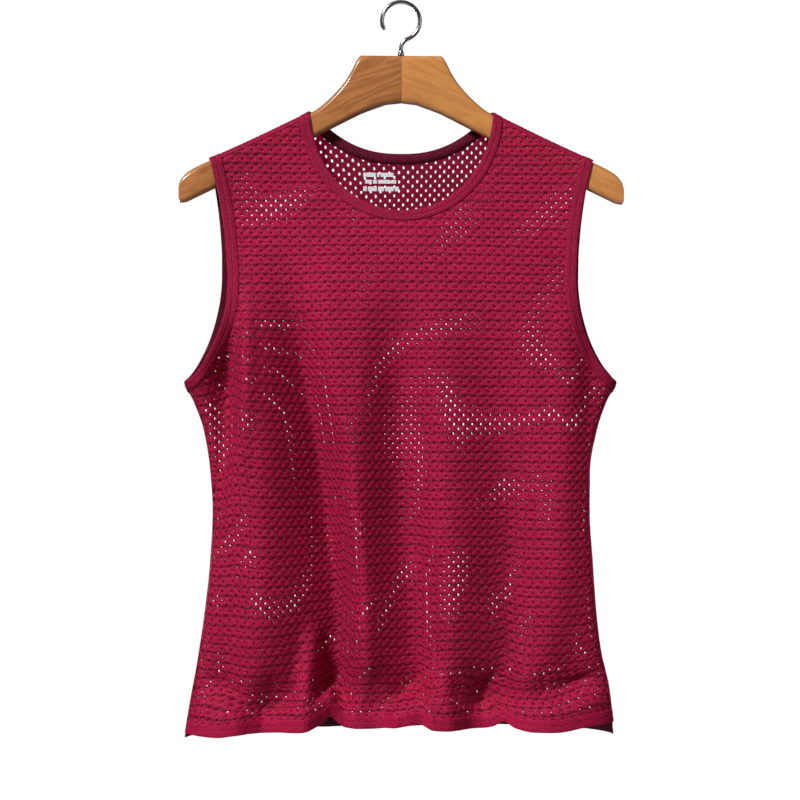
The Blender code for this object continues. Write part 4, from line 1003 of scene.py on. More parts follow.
BINDING = band_profile(
    [
        (0.00, 0.0006),
        (0.03, 0.0012),
        (0.12, 0.0015),
        (0.40, 0.00155),
        (0.47, 0.00145),
        (0.50, 0.0009),
        (0.53, 0.00145),
        (0.60, 0.0016),
        (0.90, 0.0015),
        (0.97, 0.0011),
        (1.00, 0.0004),
    ],
    [(1.00, -0.0006), (0.50, -0.0006), (0.06, -0.0006), (0.00, -0.0003)],
)
HEM = band_profile(
    [
        (0.00, 0.0002),
        (0.03, 0.0007),
        (0.10, 0.0009),
        (0.36, 0.0009),
        (0.46, 0.00088),
        (0.50, 0.00060),
        (0.54, 0.00088),
        (0.66, 0.0009),
        (0.88, 0.0009),
        (0.95, 0.0008),
        (1.00, 0.0004),
    ],
    [(1.00, -0.0007), (0.50, -0.0009), (0.06, -0.0009), (0.00, -0.0004)],
)


def puckering(length, count, seed, size):
    """Small uneven swells along a sewn band."""
    at = np.linspace(0, length, count)
    phases = wave(seed, 4) * 6.3
    waves = [(0.011, 0.35), (0.0067, 0.3), (0.019, 0.5), (0.0043, 0.18)]
    total = sum(a * np.sin(at / w * 6.283 + p) for (w, a), p in zip(waves, phases))
    return total * size


def paint_band_inside_shade(made, inside, profile, rings):
    """Gives a band its painted shade: the faces between the profile's points that lie under the cloth take
    the darker inside material.
    """
    around = len(profile)
    under = [k for k in range(around) if profile[k][1] < 0]
    paint_inside_shade(made, inside, [i * around + k for i in range(rings) for k in under])


def neck_ring(finish, inside):
    quarters = []
    for side, mirror, flip in (("front", 1, 1), ("front", -1, -1), ("back", -1, 1), ("back", 1, -1)):
        edge, inner = fine_lines("neck", side, mirror, 90)
        ripple = puckering(0.16, 90, 3 if mirror > 0 else 5, 0.00012)
        ripple *= np.sin(np.linspace(0, math.pi, 90)) ** 0.5
        rings = profiled(side, edge, inner, mirror, BINDING, ripple)[::flip]
        quarters.append(rings[:-1])
    rings = np.concatenate(quarters)
    uvs = ring_uvs(rings, BINDING, NECK_BAND)
    made = strip_solid("neck_ribbing", rings, finish, True, "neck_binding", uvs=uvs)
    paint_band_inside_shade(made, inside, BINDING, len(rings))
    return made


def ring_uvs(rings, profile, width):
    """Cloth coordinates for a band: along it, and across its width."""
    middle = rings[:, 0]
    steps = np.linalg.norm(np.diff(middle, axis=0), axis=1)
    along = np.concatenate([[0], np.cumsum(steps)])
    across = np.array([part * width for part, _ in profile])
    grid = np.stack(np.broadcast_arrays(along[:, None], across[None, :]), axis=-1)
    return grid.reshape(-1, 2)


def arm_ring(name, mirror, finish, inside, node):
    parts = []
    for side, flip in (("front", 1), ("back", -1)):
        edge, inner = fine_lines("armhole", side, mirror, 130)
        ripple = puckering(0.25, 130, 7 if side == "front" else 9, 0.00012)
        ripple *= np.sin(np.linspace(0, math.pi, 130)) ** 0.5
        parts.append(profiled(side, edge, inner, mirror, BINDING, ripple)[::flip][:-1])
    rings = np.concatenate(parts)
    uvs = ring_uvs(rings, BINDING, ARM_BAND)
    made = strip_solid(name, rings, finish, True, node, uvs=uvs)
    paint_band_inside_shade(made, inside, BINDING, len(rings))
    return made


def hem_strip(side, name, finish, inside, node):
    sheet = SHEETS[side]
    lanes = []
    count = 320
    part = np.linspace(0, 1, count)
    ripple = puckering(0.46, count, 13 if side == "front" else 17, 0.00022)
    for share, height in HEM:
        drop = np.full(count, CLOTH_LENGTH - HEM_BAND * share)
        low, high = sheet.sides_at(drop)
        across = low + SIDE_GAP + (high - low - 2 * SIDE_GAP) * part
        place, normal = sheet.at(across, drop)
        lift = np.where(height > 0, height + ripple, height - ripple * 0.3)
        lanes.append(place + normal * lift[:, None])
    rings = np.stack(lanes, axis=1)
    uvs = ring_uvs(rings, HEM, HEM_BAND)
    made = strip_solid(name, rings, finish, False, node, uvs=uvs)
    paint_band_inside_shade(made, inside, HEM, len(rings) - 1)
    return made


def shoulder_tape(name, mirror, finish):
    """The doubled cloth over the shoulder, from the forward seam to behind the arm."""
    count, reach = 70, np.concatenate(
        [np.linspace(SEAM_FORWARD + 0.0008, 0, 12), -np.linspace(0, SEAM_FORWARD, 12)[1:]]
    )
    inner_x = NECK_HALF + NECK_BAND * 0.80
    outer_x = SHOULDER_HALF - ARM_BAND * 0.80
    x = np.linspace(inner_x, outer_x, count) * mirror
    rows = []
    for level in (1, -1):
        for below in reach if level > 0 else reach[::-1]:
            side = "front" if below >= 0 else "back"
            lean = (abs(below) / SEAM_FORWARD) * 0.0028
            drop = shoulder_drop(x) + abs(below)
            place, normal = on_sheet(side, x - np.sign(x) * lean * 0.3, drop)
            edge = 1 - (abs(below) / (SEAM_FORWARD + 0.0008)) ** 12
            height = (0.0004 + 0.00065 * edge) if level > 0 else -0.0006
            rows.append(place + normal * height)
    rings = np.stack(rows, axis=1)
    return strip_solid(name, rings, finish, False)


def side_tape(name, mirror, finish):
    """The closed side seam: a narrow ridge that runs from the armhole to the hem."""
    count = 150
    drop = np.linspace(UNDERARM_DROP + ARM_BAND * 0.7, CLOTH_LENGTH - HEM_BAND * 0.5, count)
    reach = SIDE_REACH * np.array([1.0, 0.66, 0.33, 0.04])
    lanes = []
    for level in (1, -1):
        path = [("front", r) for r in reach] + [("back", r) for r in reach[::-1]]
        for side, r in path if level > 0 else path[::-1]:
            low, high = SHEETS[side].sides_at(drop)
            across = high - r if mirror > 0 else low + r
            place, normal = SHEETS[side].at(across, drop)
            shape = 1 - (r / SIDE_REACH) ** 3
            groove = 0.00035 if r < 0.0005 else 0.0
            height = 0.0004 + 0.00045 * shape - groove if level > 0 else -0.00055
            lanes.append(place + normal * height)
    rings = np.stack(lanes, axis=1)
    return strip_solid(name, rings, finish, False)


# ------------------------------------------------------------------ stitching
def stitch_line(points, normals, length=0.0026, gap=0.0007, radius=0.00021):
    """Small thread stitches along a line on the cloth, as points and faces."""
    steps = np.linalg.norm(np.diff(points, axis=0), axis=1)
    at = np.concatenate([[0], np.cumsum(steps)])
    starts = np.arange(gap, at[-1] - length, length + gap)
    vertices, faces = [], []
    for start in starts:
        places = []
        for share in (0.0, 0.25, 0.75, 1.0):
            s = start + share * length
            places.append([np.interp(s, at, points[:, k]) for k in range(3)])
        normal = np.array([np.interp(start + length / 2, at, normals[:, k]) for k in range(3)])
        normal /= np.linalg.norm(normal)
        places = np.array(places)
        ahead = places[-1] - places[0]
        ahead /= np.linalg.norm(ahead)
        side = np.cross(ahead, normal)
        base = len(vertices)
        for place, (wide, high) in zip(places, ((0.3, -0.6), (1, 0.6), (1, 0.6), (0.3, -0.6))):
            centre = place + normal * radius * high
            for across, up in ((1, 0), (0, 1), (-1, 0), (0, -1)):
                vertices.append(centre + (side * across + normal * up) * radius * wide)
        for i in range(3):
            for k in range(4):
                j = (k + 1) % 4
                a, b = base + i * 4, base + (i + 1) * 4
                faces.append((a + k, a + j, b + j, b + k))
        faces.append((base + 3, base + 2, base + 1, base))
        faces.append((base + 12, base + 13, base + 14, base + 15))
    return vertices, faces


def joined_stitches(name, runs, finish):
    vertices, faces = [], []
    for points, normals, *sizes in runs:
        some, these = stitch_line(points, normals, *sizes)
        faces += [tuple(v + len(vertices) for v in face) for face in these]
        vertices += some
    made = made_object(name, vertices, faces, finish)
    outward(made)
    return made


def band_run(kind, side, mirror, part, height):
    edge, inner = fine_lines(kind, side, mirror, 90)
    rows = edge + (inner - edge) * part
    place, normal = on_sheet(side, rows[:, 0] * mirror, rows[:, 1])
    return place + normal * height, normal


def hem_run(side, part, height):
    sheet = SHEETS[side]
    drop = np.full(300, CLOTH_LENGTH - HEM_BAND * part)
    low, high = sheet.sides_at(drop)
    across = low + 0.002 + (high - low - 0.004) * np.linspace(0, 1, 300)
    place, normal = sheet.at(across, drop)
    return place + normal * height, normal


def shoulder_run(mirror, below, height):
    x = np.linspace(NECK_HALF + NECK_BAND, SHOULDER_HALF - ARM_BAND, 40) * mirror
    side = "front" if below >= 0 else "back"
    place, normal = on_sheet(side, x, shoulder_drop(x) + abs(below))
    return place + normal * height, normal


def all_stitches(finish):
    runs = []
    for side in ("front", "back"):
        for mirror in (-1, 1):
            runs.append(band_run("neck", side, mirror, 0.5, 0.00095))
            runs.append(band_run("armhole", side, mirror, 0.5, 0.00095))
        runs.append(hem_run(side, 0.50, 0.00066))
    for mirror in (-1, 1):
        runs.append(shoulder_run(mirror, 0.0064, 0.00105))
        runs.append(shoulder_run(mirror, -0.0064, 0.00105))
    return joined_stitches("stitching", runs, finish)


# ------------------------------------------------------------------ the print inside the neck
def neck_print(finish):
    """Rows of plain bars inside the back of the neck, where the real one has small writing."""
    sheet = SHEETS["back"]
    vertices, faces = [], []
    for row, (level, height, bars) in enumerate(PRINT_ROWS):
        x = PRINT_LEFT + (0.002 if row == 1 else 0.0)
        for wide in bars:
            corners = []
            for dx, dz in ((0, 0), (wide, 0), (wide, height), (0, height)):
                px, pd = np.array([x + dx]), np.array([level + dz])
                across = sheet.across_at(px, pd)
                place, normal = sheet.at(across, pd)
                corners.append((place[0], normal[0]))
            base = len(vertices)
            for lift in (0.0008, 0.0012):
                vertices += [place - normal * lift for place, normal in corners]
            quads = ((0, 1, 2, 3), (7, 6, 5, 4), (0, 4, 5, 1), (1, 5, 6, 2), (2, 6, 7, 3), (3, 7, 4, 0))
            faces += [tuple(base + v for v in quad) for quad in quads]
            x += wide + PRINT_SPACE
    made = made_object("neck_print", vertices, faces, finish, smooth=False)
    outward(made)
    return made


# ------------------------------------------------------------------ the hanger
def begin(name, add, **sizes):
    """A new primitive, alone in the selection and open in edit mode."""
    bpy.ops.object.select_all(action="DESELECT")
    add(**sizes)
    made = bpy.context.object
    made.name = name
    bpy.ops.object.transform_apply(location=True, rotation=True, scale=True)
    bpy.ops.object.mode_set(mode="EDIT")
    return made


def finish_edit(made, finish, node, modifiers=()):
    """Leaves edit mode, applies the modifiers and gives the piece its finish."""
    bpy.ops.mesh.select_all(action="SELECT")
    bpy.ops.mesh.normals_make_consistent(inside=False)
    bpy.ops.object.mode_set(mode="OBJECT")
    for kind, settings in modifiers:
        modifier = made.modifiers.new(kind.lower(), kind)
        for key, value in settings.items():
            setattr(modifier, key, value)
        bpy.ops.object.modifier_apply(modifier=modifier.name)
    bpy.ops.object.shade_smooth_by_angle(angle=math.radians(50))
    made.data.materials.clear()
    made.data.materials.append(finish)
    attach(made, "root")
    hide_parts(node)
    return made


def select_where(made, test, kind="FACE"):
    """Selects the faces or points of the open mesh that pass the test of their place."""
    bpy.ops.mesh.select_mode(type=kind)
    bpy.ops.mesh.select_all(action="DESELECT")
    bm = bmesh.from_edit_mesh(made.data)
    for item in bm.faces if kind == "FACE" else bm.verts:
        place = item.calc_center_median() if kind == "FACE" else item.co
        item.select_set(bool(test(place)))
    bm.select_flush_mode()
    bmesh.update_edit_mesh(made.data)


def wooden_arm(name, mirror, finish, node):
    """Half of the hanger: a rounded outline that is extruded along the arm, station by station."""
    stations = [0.0, 0.015, 0.028, 0.034, *np.linspace(0.037, 0.065, 15)]
    stations += [*np.linspace(0.070, 0.100, 7), *np.linspace(0.110, 0.198, 9)]
    stations += [0.203, 0.2075, 0.2115, 0.2148, 0.2174, 0.2192, 0.2203, 0.2207]

    def section(x):
        top, bottom = (float(of_table(ARM, key, x, "x")) for key in ("top", "bottom"))
        return float(arm_depth(x)), top, bottom

    before, (depth, top, bottom) = 0.00015, section(0.0)
    made = begin(
        name,
        bpy.ops.mesh.primitive_plane_add,
        size=1.0,
        location=(before * mirror, depth, (top + bottom) / 2),
        rotation=(0.0, math.radians(90), 0.0),
    )
    bpy.ops.transform.resize(value=(1.0, 2 * ARM_HALF_THICK, top - bottom))
    bpy.ops.mesh.bevel(offset=WOOD_ROUND, segments=7, affect="VERTICES")
    thick = 1.0
    for x in stations[1:]:
        new_depth, new_top, new_bottom = section(x)
        bpy.ops.mesh.select_mode(type="FACE")
        move = ((x - before) * mirror, new_depth - depth, 0.0)
        bpy.ops.mesh.extrude_region_move(TRANSFORM_OT_translate={"value": move})
        new_thick = 1 - 0.5 * float(smooth_step(np.array(x), 0.204, 0.226))
        if x < 0.199:
            middle = (top + bottom) / 2
            for sign, rise in ((1, new_top - top), (-1, new_bottom - bottom)):
                select_where(
                    made,
                    lambda at: at.x * mirror > x - 1e-5 and (at.z - middle) * sign > 0,
                    "VERT",
                )
                bpy.ops.transform.translate(value=(0.0, 0.0, rise))
            select_where(made, lambda at: at.x * mirror > x - 1e-5)
        else:
            tall = (new_top - new_bottom) / (top - bottom)
            bpy.ops.transform.resize(value=(1.0, new_thick / thick, tall))
            shift = (new_top + new_bottom - top - bottom) / 2
            bpy.ops.transform.translate(value=(0.0, 0.0, shift))
        before, depth, top, bottom, thick = x, new_depth, new_top, new_bottom, new_thick
    small = {"width": 0.0006, "segments": 3, "limit_method": "ANGLE", "angle_limit": math.radians(40)}
    return finish_edit(made, finish, node, [("BEVEL", small)])


def collar(name, finish, node):
    """The turned foot of the hook: a flange, a waist and a rounded top."""
    foot = WOOD_TOP + SEAM_GAP
    made = begin(
        name,
        bpy.ops.mesh.primitive_cylinder_add,
        vertices=32,
        radius=COLLAR_RADIUS,
        depth=COLLAR_FLANGE,
        location=(0.0, 0.0, foot + COLLAR_FLANGE / 2),
    )
    level, size = foot + COLLAR_FLANGE, COLLAR_RADIUS
    for wanted, rise in COLLAR_STEPS:
        select_where(made, lambda at: at.z > level - 1e-5)
        bpy.ops.mesh.extrude_region_move(TRANSFORM_OT_translate={"value": (0, 0, rise)})
        bpy.ops.transform.resize(value=(wanted / size, wanted / size, 1.0))
        level, size = level + rise, wanted
    bevel = {"width": 0.00015, "segments": 2, "limit_method": "ANGLE"}
    return finish_edit(made, finish, node, [("BEVEL", bevel)])


def wire(name, finish, node):
    """The hook: a round wire spun up from its foot and round over the rail, with a domed tip."""
    centre = WIRE_RADIUS - HOOK_RADIUS
    bend = HOOK_RADIUS * math.cos(HOOK_FOOT_ANGLE) / (1 - math.cos(HOOK_FOOT_ANGLE))
    bend_height = centre - (HOOK_RADIUS + bend) * math.sin(HOOK_FOOT_ANGLE)
    foot = WOOD_TOP + SEAM_GAP + COLLAR_HEIGHT + SEAM_GAP
    made = begin(
        name,
        bpy.ops.mesh.primitive_circle_add,
        vertices=20,
        radius=WIRE_RADIUS,
        fill_type="NGON",
        location=(0.0, 0.0, foot),
    )
    rise = (0.0, 0.0, bend_height - foot)
    bpy.ops.mesh.extrude_region_move(TRANSFORM_OT_translate={"value": rise})
    axis = (0.0, 1.0, 0.0)
    bpy.ops.mesh.spin(steps=10, angle=-HOOK_FOOT_ANGLE, center=(bend, 0.0, bend_height), axis=axis)
    turn = HOOK_FOOT_ANGLE + HOOK_TIP_ANGLE
    bpy.ops.mesh.spin(steps=64, angle=turn, center=(0.0, 0.0, centre), axis=axis)
    for share, ahead in ((0.86, 0.0006), (0.5, 0.0005)):
        way = HOOK_TIP_ANGLE + math.pi / 2
        move = (math.cos(way) * ahead, 0.0, math.sin(way) * ahead)
        bpy.ops.mesh.extrude_region_move(TRANSFORM_OT_translate={"value": move})
        bpy.ops.transform.resize(value=(share, share, share))
    return finish_edit(made, finish, node)


# ------------------------------------------------------------------ materials
def group_with(name, inputs, outputs):
    """A shader group with named inputs (name, default) and outputs (name, kind)."""
    group = bpy.data.node_groups.new(name, "ShaderNodeTree")
    for label, kind, value in inputs:
        socket = group.interface.new_socket(label, in_out="INPUT", socket_type=kind)
        if value is not None:
            socket.default_value = value
    for label, kind in outputs:
        group.interface.new_socket(label, in_out="OUTPUT", socket_type=kind)
    start = group.nodes.new("NodeGroupInput")
    end = group.nodes.new("NodeGroupOutput")
    return group, start, end


def maths(tree, operation, a, b=None, c=None, clamp=False):
    """A maths node over sockets or numbers."""
    made = tree.nodes.new("ShaderNodeMath")
    made.operation = operation
    made.use_clamp = clamp
    for k, value in enumerate((a, b, c)):
        if value is None:
            continue
        if isinstance(value, (int, float)):
            made.inputs[k].default_value = value
        else:
            tree.links.new(value, made.inputs[k])
    return made.outputs[0]


def mixed(tree, share, one, two):
    made = tree.nodes.new("ShaderNodeMix")
    made.data_type = "RGBA"
    for value, socket in ((share, 0), (one, 6), (two, 7)):
        if isinstance(value, (int, float)):
            made.inputs[socket].default_value = value
        elif isinstance(value, tuple):
            made.inputs[socket].default_value = (*value, 1.0)
        else:
            tree.links.new(value, made.inputs[socket])
    return made.outputs[2]


def cloth_group():
    """Knit: fine loops in courses, with uneven yarn, painted shade in the loops' hollows and in the grooves
    between rows, and painted pink sparkle highlights, from cloth coordinates.
    """
    group, start, end = group_with(
        "knit",
        [
            ("Place", "NodeSocketVector", None),
            ("Loop width", "NodeSocketFloat", 0.0009),
            ("Loop height", "NodeSocketFloat", 0.0007),
            ("Weave", "NodeSocketFloat", 1.0),
            ("Grain", "NodeSocketFloat", 0.4),
            # Rows sets the strength of the painted groove shade, and the last input that of the painted
            # sparkle highlights.
            ("Rows", "NodeSocketFloat", 0.3),
            ("Wear", "NodeSocketFloat", 0.5),
            ("Sparkle", "NodeSocketFloat", 0.2),
        ],
        [
            ("Height", "NodeSocketFloat"),
            ("Shade", "NodeSocketFloat"),
            ("Fleck", "NodeSocketFloat"),
        ],
    )
    links = group.links
    split = group.nodes.new("ShaderNodeSeparateXYZ")
    links.new(start.outputs["Place"], split.inputs[0])
    along = maths(group, "DIVIDE", split.outputs[0], start.outputs["Loop width"])
    down = maths(group, "DIVIDE", split.outputs[1], start.outputs["Loop height"])
    wale = maths(group, "SINE", maths(group, "MULTIPLY", along, 6.2832))
    lean = maths(group, "ADD", down, maths(group, "MULTIPLY", wale, 0.22))
    course = maths(group, "SINE", maths(group, "MULTIPLY", lean, 6.2832))
    both = maths(group, "ADD", maths(group, "MULTIPLY", wale, 0.45), course)
    noise = group.nodes.new("ShaderNodeTexNoise")
    noise.inputs["Scale"].default_value = 90.0
    noise.inputs["Detail"].default_value = 3.0
    links.new(start.outputs["Place"], noise.inputs["Vector"])
    broad = group.nodes.new("ShaderNodeTexNoise")
    broad.inputs["Scale"].default_value = 14.0
    broad.inputs["Detail"].default_value = 2.0
    links.new(start.outputs["Place"], broad.inputs["Vector"])
    height = maths(group, "MULTIPLY", both, start.outputs["Weave"])
    fine = maths(group, "SUBTRACT", noise.outputs["Fac"], 0.5)
    wide = maths(group, "SUBTRACT", broad.outputs["Fac"], 0.5)
    links.new(maths(group, "ADD", height, maths(group, "MULTIPLY", fine, 1.2)), end.inputs["Height"])
    # Painted shade: the loops' hollows a little darker and their tops a little lighter.
    dark = maths(group, "MULTIPLY", maths(group, "MULTIPLY", both, 0.10), start.outputs["Weave"])
    uneven = maths(
        group,
        "MULTIPLY",
        maths(group, "ADD", fine, maths(group, "MULTIPLY", wide, 1.4)),
        start.outputs["Wear"],
    )
    yarn = group.nodes.new("ShaderNodeTexNoise")
    yarn.inputs["Scale"].default_value = 560.0
    yarn.inputs["Detail"].default_value = 2.0
    links.new(start.outputs["Place"], yarn.inputs["Vector"])
    grain = maths(group, "MULTIPLY", maths(group, "SUBTRACT", yarn.outputs["Fac"], 0.5), 2.4)
    grain = maths(group, "MULTIPLY", grain, start.outputs["Grain"])
    # Painted shade in the grooves along every second row of holes: a wavy dark line.
    sway = maths(group, "SINE", maths(group, "MULTIPLY", split.outputs[0], 6.2832 / HOLE_PITCH))
    sway = maths(group, "ADD", maths(group, "MULTIPLY", sway, 0.0005), maths(group, "MULTIPLY", fine, 0.004))
    level = maths(group, "ADD", maths(group, "SUBTRACT", split.outputs[1], NET_TOP + HOLE_ROW * 1.5), sway)
    groove = maths(group, "COSINE", maths(group, "MULTIPLY", level, math.pi / HOLE_ROW))
    groove = maths(group, "POWER", maths(group, "MAXIMUM", groove, 0.0), 2.2)
    groove = maths(group, "MULTIPLY", groove, start.outputs["Rows"])
    shade = maths(group, "ADD", maths(group, "ADD", dark, 1.0), maths(group, "MULTIPLY", uneven, 0.45))
    shade = maths(group, "SUBTRACT", maths(group, "ADD", shade, grain), groove)
    links.new(maths(group, "MAXIMUM", shade, 0.05), end.inputs["Shade"])
    # Painted sparkle highlights: small pink spots, kept out of the painted groove shade.
    speck = group.nodes.new("ShaderNodeTexNoise")
    speck.inputs["Scale"].default_value = 520.0
    speck.inputs["Detail"].default_value = 2.0
    links.new(start.outputs["Place"], speck.inputs["Vector"])
    sparkle = maths(group, "SUBTRACT", speck.outputs["Fac"], 0.47)
    sparkle = maths(group, "MULTIPLY", sparkle, 5.0, clamp=True)
    sparkle = maths(group, "MULTIPLY", sparkle, maths(group, "SUBTRACT", 1.0, groove, clamp=True))
    links.new(maths(group, "MULTIPLY", sparkle, start.outputs["Sparkle"]), end.inputs["Fleck"])
    return group


def cloth_material(name, group, colour, pink, loops, looks, rough, sheen, place="UV", through=0.0):
    """A knitted cloth; through is a painted glow: an emission in the cloth's own colour that stands in for
    daylight coming through it onto its dim side.
    """
    made = bpy.data.materials.new(name)
    made.use_nodes = True
    tree = made.node_tree
    shader = tree.nodes["Principled BSDF"]
    knit = tree.nodes.new("ShaderNodeGroup")
    knit.node_tree = group
    knit.inputs["Loop width"].default_value = loops[0]
    knit.inputs["Loop height"].default_value = loops[1]
    # Rows and the last of these set the painted groove shade and the painted sparkle highlights.
    for label, value in zip(("Weave", "Grain", "Rows", "Wear", "Sparkle"), looks):
        knit.inputs[label].default_value = value
    if place == "UV":
        source = tree.nodes.new("ShaderNodeUVMap")
        source.uv_map = "cloth"
        tree.links.new(source.outputs[0], knit.inputs["Place"])
    else:
        source = tree.nodes.new("ShaderNodeTexCoord")
        tree.links.new(source.outputs["Object"], knit.inputs["Place"])
    base = tree.nodes.new("ShaderNodeMix")
    base.data_type = "RGBA"
    base.blend_type = "MULTIPLY"
    base.inputs[0].default_value = 1.0
    base.inputs[6].default_value = (*colour, 1.0)
    grey = tree.nodes.new("ShaderNodeCombineColor")
    for k in range(3):
        tree.links.new(knit.outputs["Shade"], grey.inputs[k])
    tree.links.new(grey.outputs[0], base.inputs[7])
    # The base colour is mixed toward pink at the painted sparkle highlights.
    tree.links.new(
        mixed(tree, knit.outputs["Fleck"], base.outputs[2], pink), shader.inputs["Base Color"]
    )
    bump = tree.nodes.new("ShaderNodeBump")
    bump.inputs["Strength"].default_value = 0.5
    bump.inputs["Distance"].default_value = 0.00016
    tree.links.new(knit.outputs["Height"], bump.inputs["Height"])
    tree.links.new(bump.outputs[0], shader.inputs["Normal"])
    shader.inputs["Roughness"].default_value = rough
    shader.inputs["Sheen Weight"].default_value = sheen
    shader.inputs["Sheen Roughness"].default_value = 0.35
    shader.inputs["Sheen Tint"].default_value = (*pink, 1.0)
    shader.inputs["Specular IOR Level"].default_value = 0.16
    # The emission is a painted glow; only the nets' painted-shade inside material has it.
    shader.inputs["Emission Color"].default_value = (*colour, 1.0)
    shader.inputs["Emission Strength"].default_value = through
    return made


def wood_group():
    """Wood: long grain along the arm with a few broader figures, from object coordinates."""
    group, start, end = group_with(
        "wood",
        [
            ("Place", "NodeSocketVector", None),
            ("Tilt", "NodeSocketFloat", 0.5),
            ("Grain", "NodeSocketFloat", 1.0),
            ("Wear", "NodeSocketFloat", 0.3),
        ],
        [("Figure", "NodeSocketFloat"), ("Pores", "NodeSocketFloat"), ("Scuffs", "NodeSocketFloat")],
    )
    links = group.links
    turn = group.nodes.new("ShaderNodeVectorRotate")
    turn.rotation_type = "Y_AXIS"
    links.new(start.outputs["Place"], turn.inputs["Vector"])
    links.new(start.outputs["Tilt"], turn.inputs["Angle"])
    stretch = group.nodes.new("ShaderNodeVectorMath")
    stretch.operation = "MULTIPLY"
    stretch.inputs[1].default_value = (7.0, 60.0, 60.0)
    links.new(turn.outputs[0], stretch.inputs[0])
    warp = group.nodes.new("ShaderNodeTexNoise")
    warp.inputs["Scale"].default_value = 0.9
    warp.inputs["Detail"].default_value = 4.0
    warp.inputs["Distortion"].default_value = 0.8
    links.new(stretch.outputs[0], warp.inputs["Vector"])
    rings = maths(group, "SINE", maths(group, "MULTIPLY", warp.outputs["Fac"], 34.0))
    strength = maths(group, "MULTIPLY", start.outputs["Grain"], 0.5)
    figure = maths(group, "MULTIPLY", maths(group, "ADD", rings, 1.0), strength)
    links.new(figure, end.inputs["Figure"])
    fine = group.nodes.new("ShaderNodeVectorMath")
    fine.operation = "MULTIPLY"
    fine.inputs[1].default_value = (90.0, 900.0, 900.0)
    links.new(turn.outputs[0], fine.inputs[0])
    pores = group.nodes.new("ShaderNodeTexNoise")
    pores.inputs["Scale"].default_value = 1.0
    pores.inputs["Detail"].default_value = 2.0
    links.new(fine.outputs[0], pores.inputs["Vector"])
    links.new(pores.outputs["Fac"], end.inputs["Pores"])
    scuff = group.nodes.new("ShaderNodeTexNoise")
    scuff.inputs["Scale"].default_value = 40.0
    scuff.inputs["Detail"].default_value = 5.0
    links.new(start.outputs["Place"], scuff.inputs["Vector"])
    links.new(maths(group, "MULTIPLY", scuff.outputs["Fac"], start.outputs["Wear"]), end.inputs["Scuffs"])
    return group


def wood_material(name, group, light, dark, tilt, grain, wear):
    made = bpy.data.materials.new(name)
    made.use_nodes = True
    tree = made.node_tree
    shader = tree.nodes["Principled BSDF"]
    wood = tree.nodes.new("ShaderNodeGroup")
    wood.node_tree = group
    wood.inputs["Tilt"].default_value = tilt
    wood.inputs["Grain"].default_value = grain
    wood.inputs["Wear"].default_value = wear
    source = tree.nodes.new("ShaderNodeTexCoord")
    tree.links.new(source.outputs["Object"], wood.inputs["Place"])
    figured = mixed(tree, maths(tree, "MULTIPLY", wood.outputs["Figure"], 0.55), light, dark)
    pores = maths(tree, "MULTIPLY", maths(tree, "SUBTRACT", wood.outputs["Pores"], 0.5, clamp=True), 1.6)
    tree.links.new(mixed(tree, pores, figured, dark), shader.inputs["Base Color"])
    rough = maths(tree, "ADD", maths(tree, "MULTIPLY", wood.outputs["Scuffs"], 0.35), 0.22)
    tree.links.new(rough, shader.inputs["Roughness"])
    shader.inputs["Coat Weight"].default_value = 0.9
    shader.inputs["Coat Roughness"].default_value = 0.08
    bump = tree.nodes.new("ShaderNodeBump")
    bump.inputs["Strength"].default_value = 0.12
    bump.inputs["Distance"].default_value = 0.0003
    tree.links.new(wood.outputs["Pores"], bump.inputs["Height"])
    tree.links.new(bump.outputs[0], shader.inputs["Normal"])
    return made


def speckled_material(name, colour, under, scale, rough):
    """A colour that is worn or twisted in small uneven spots, so that what is under it shows."""
    made = plain_material(name, colour, rough)
    tree = made.node_tree
    shader = tree.nodes["Principled BSDF"]
    source = tree.nodes.new("ShaderNodeTexCoord")
    spots = tree.nodes.new("ShaderNodeTexNoise")
    spots.inputs["Scale"].default_value = scale
    spots.inputs["Detail"].default_value = 2.0
    tree.links.new(source.outputs["Object"], spots.inputs["Vector"])
    share = maths(tree, "MULTIPLY", maths(tree, "SUBTRACT", spots.outputs["Fac"], 0.45), 3.0, clamp=True)
    tree.links.new(mixed(tree, share, colour, under), shader.inputs["Base Color"])
    tree.links.new(maths(tree, "ADD", maths(tree, "MULTIPLY", share, 0.2), rough), shader.inputs["Roughness"])
    return made


def plain_material(name, colour, rough, metallic=0.0):
    made = bpy.data.materials.new(name)
    made.use_nodes = True
    shader = made.node_tree.nodes["Principled BSDF"]
    shader.inputs["Base Color"].default_value = (*colour, 1.0)
    shader.inputs["Roughness"].default_value = rough
    shader.inputs["Metallic"].default_value = metallic
    return made


# ------------------------------------------------------------------ light, camera and stage
def area_light(name, place, aim, size, power, colour=(1, 1, 1)):
    light = bpy.data.lights.new(name, "AREA")
    light.shape = "DISK"
    light.size = size
    light.energy = power
    light.color = colour
    made = bpy.data.objects.new(name, light)
    made.location = place
    made.rotation_euler = (Vector(place) - Vector(aim)).to_track_quat("Z", "Y").to_euler()
    bpy.context.scene.collection.objects.link(made)
    return made


def sky(strength):
    """White behind the object, and a softer even light on it."""
    world = bpy.data.worlds.new("white_room")
    bpy.context.scene.world = world
    world.use_nodes = True
    tree = world.node_tree
    back = tree.nodes["Background"]
    back.inputs["Color"].default_value = (1, 1, 1, 1)
    path = tree.nodes.new("ShaderNodeLightPath")
    seen = maths(tree, "MULTIPLY", path.outputs["Is Camera Ray"], BACKDROP - strength)
    tree.links.new(maths(tree, "ADD", seen, strength), back.inputs["Strength"])


def plain_colours():
    """Colours straight from the light, so that the deep red stays as deep as it is."""
    bpy.context.scene.view_settings.view_transform = "Standard"


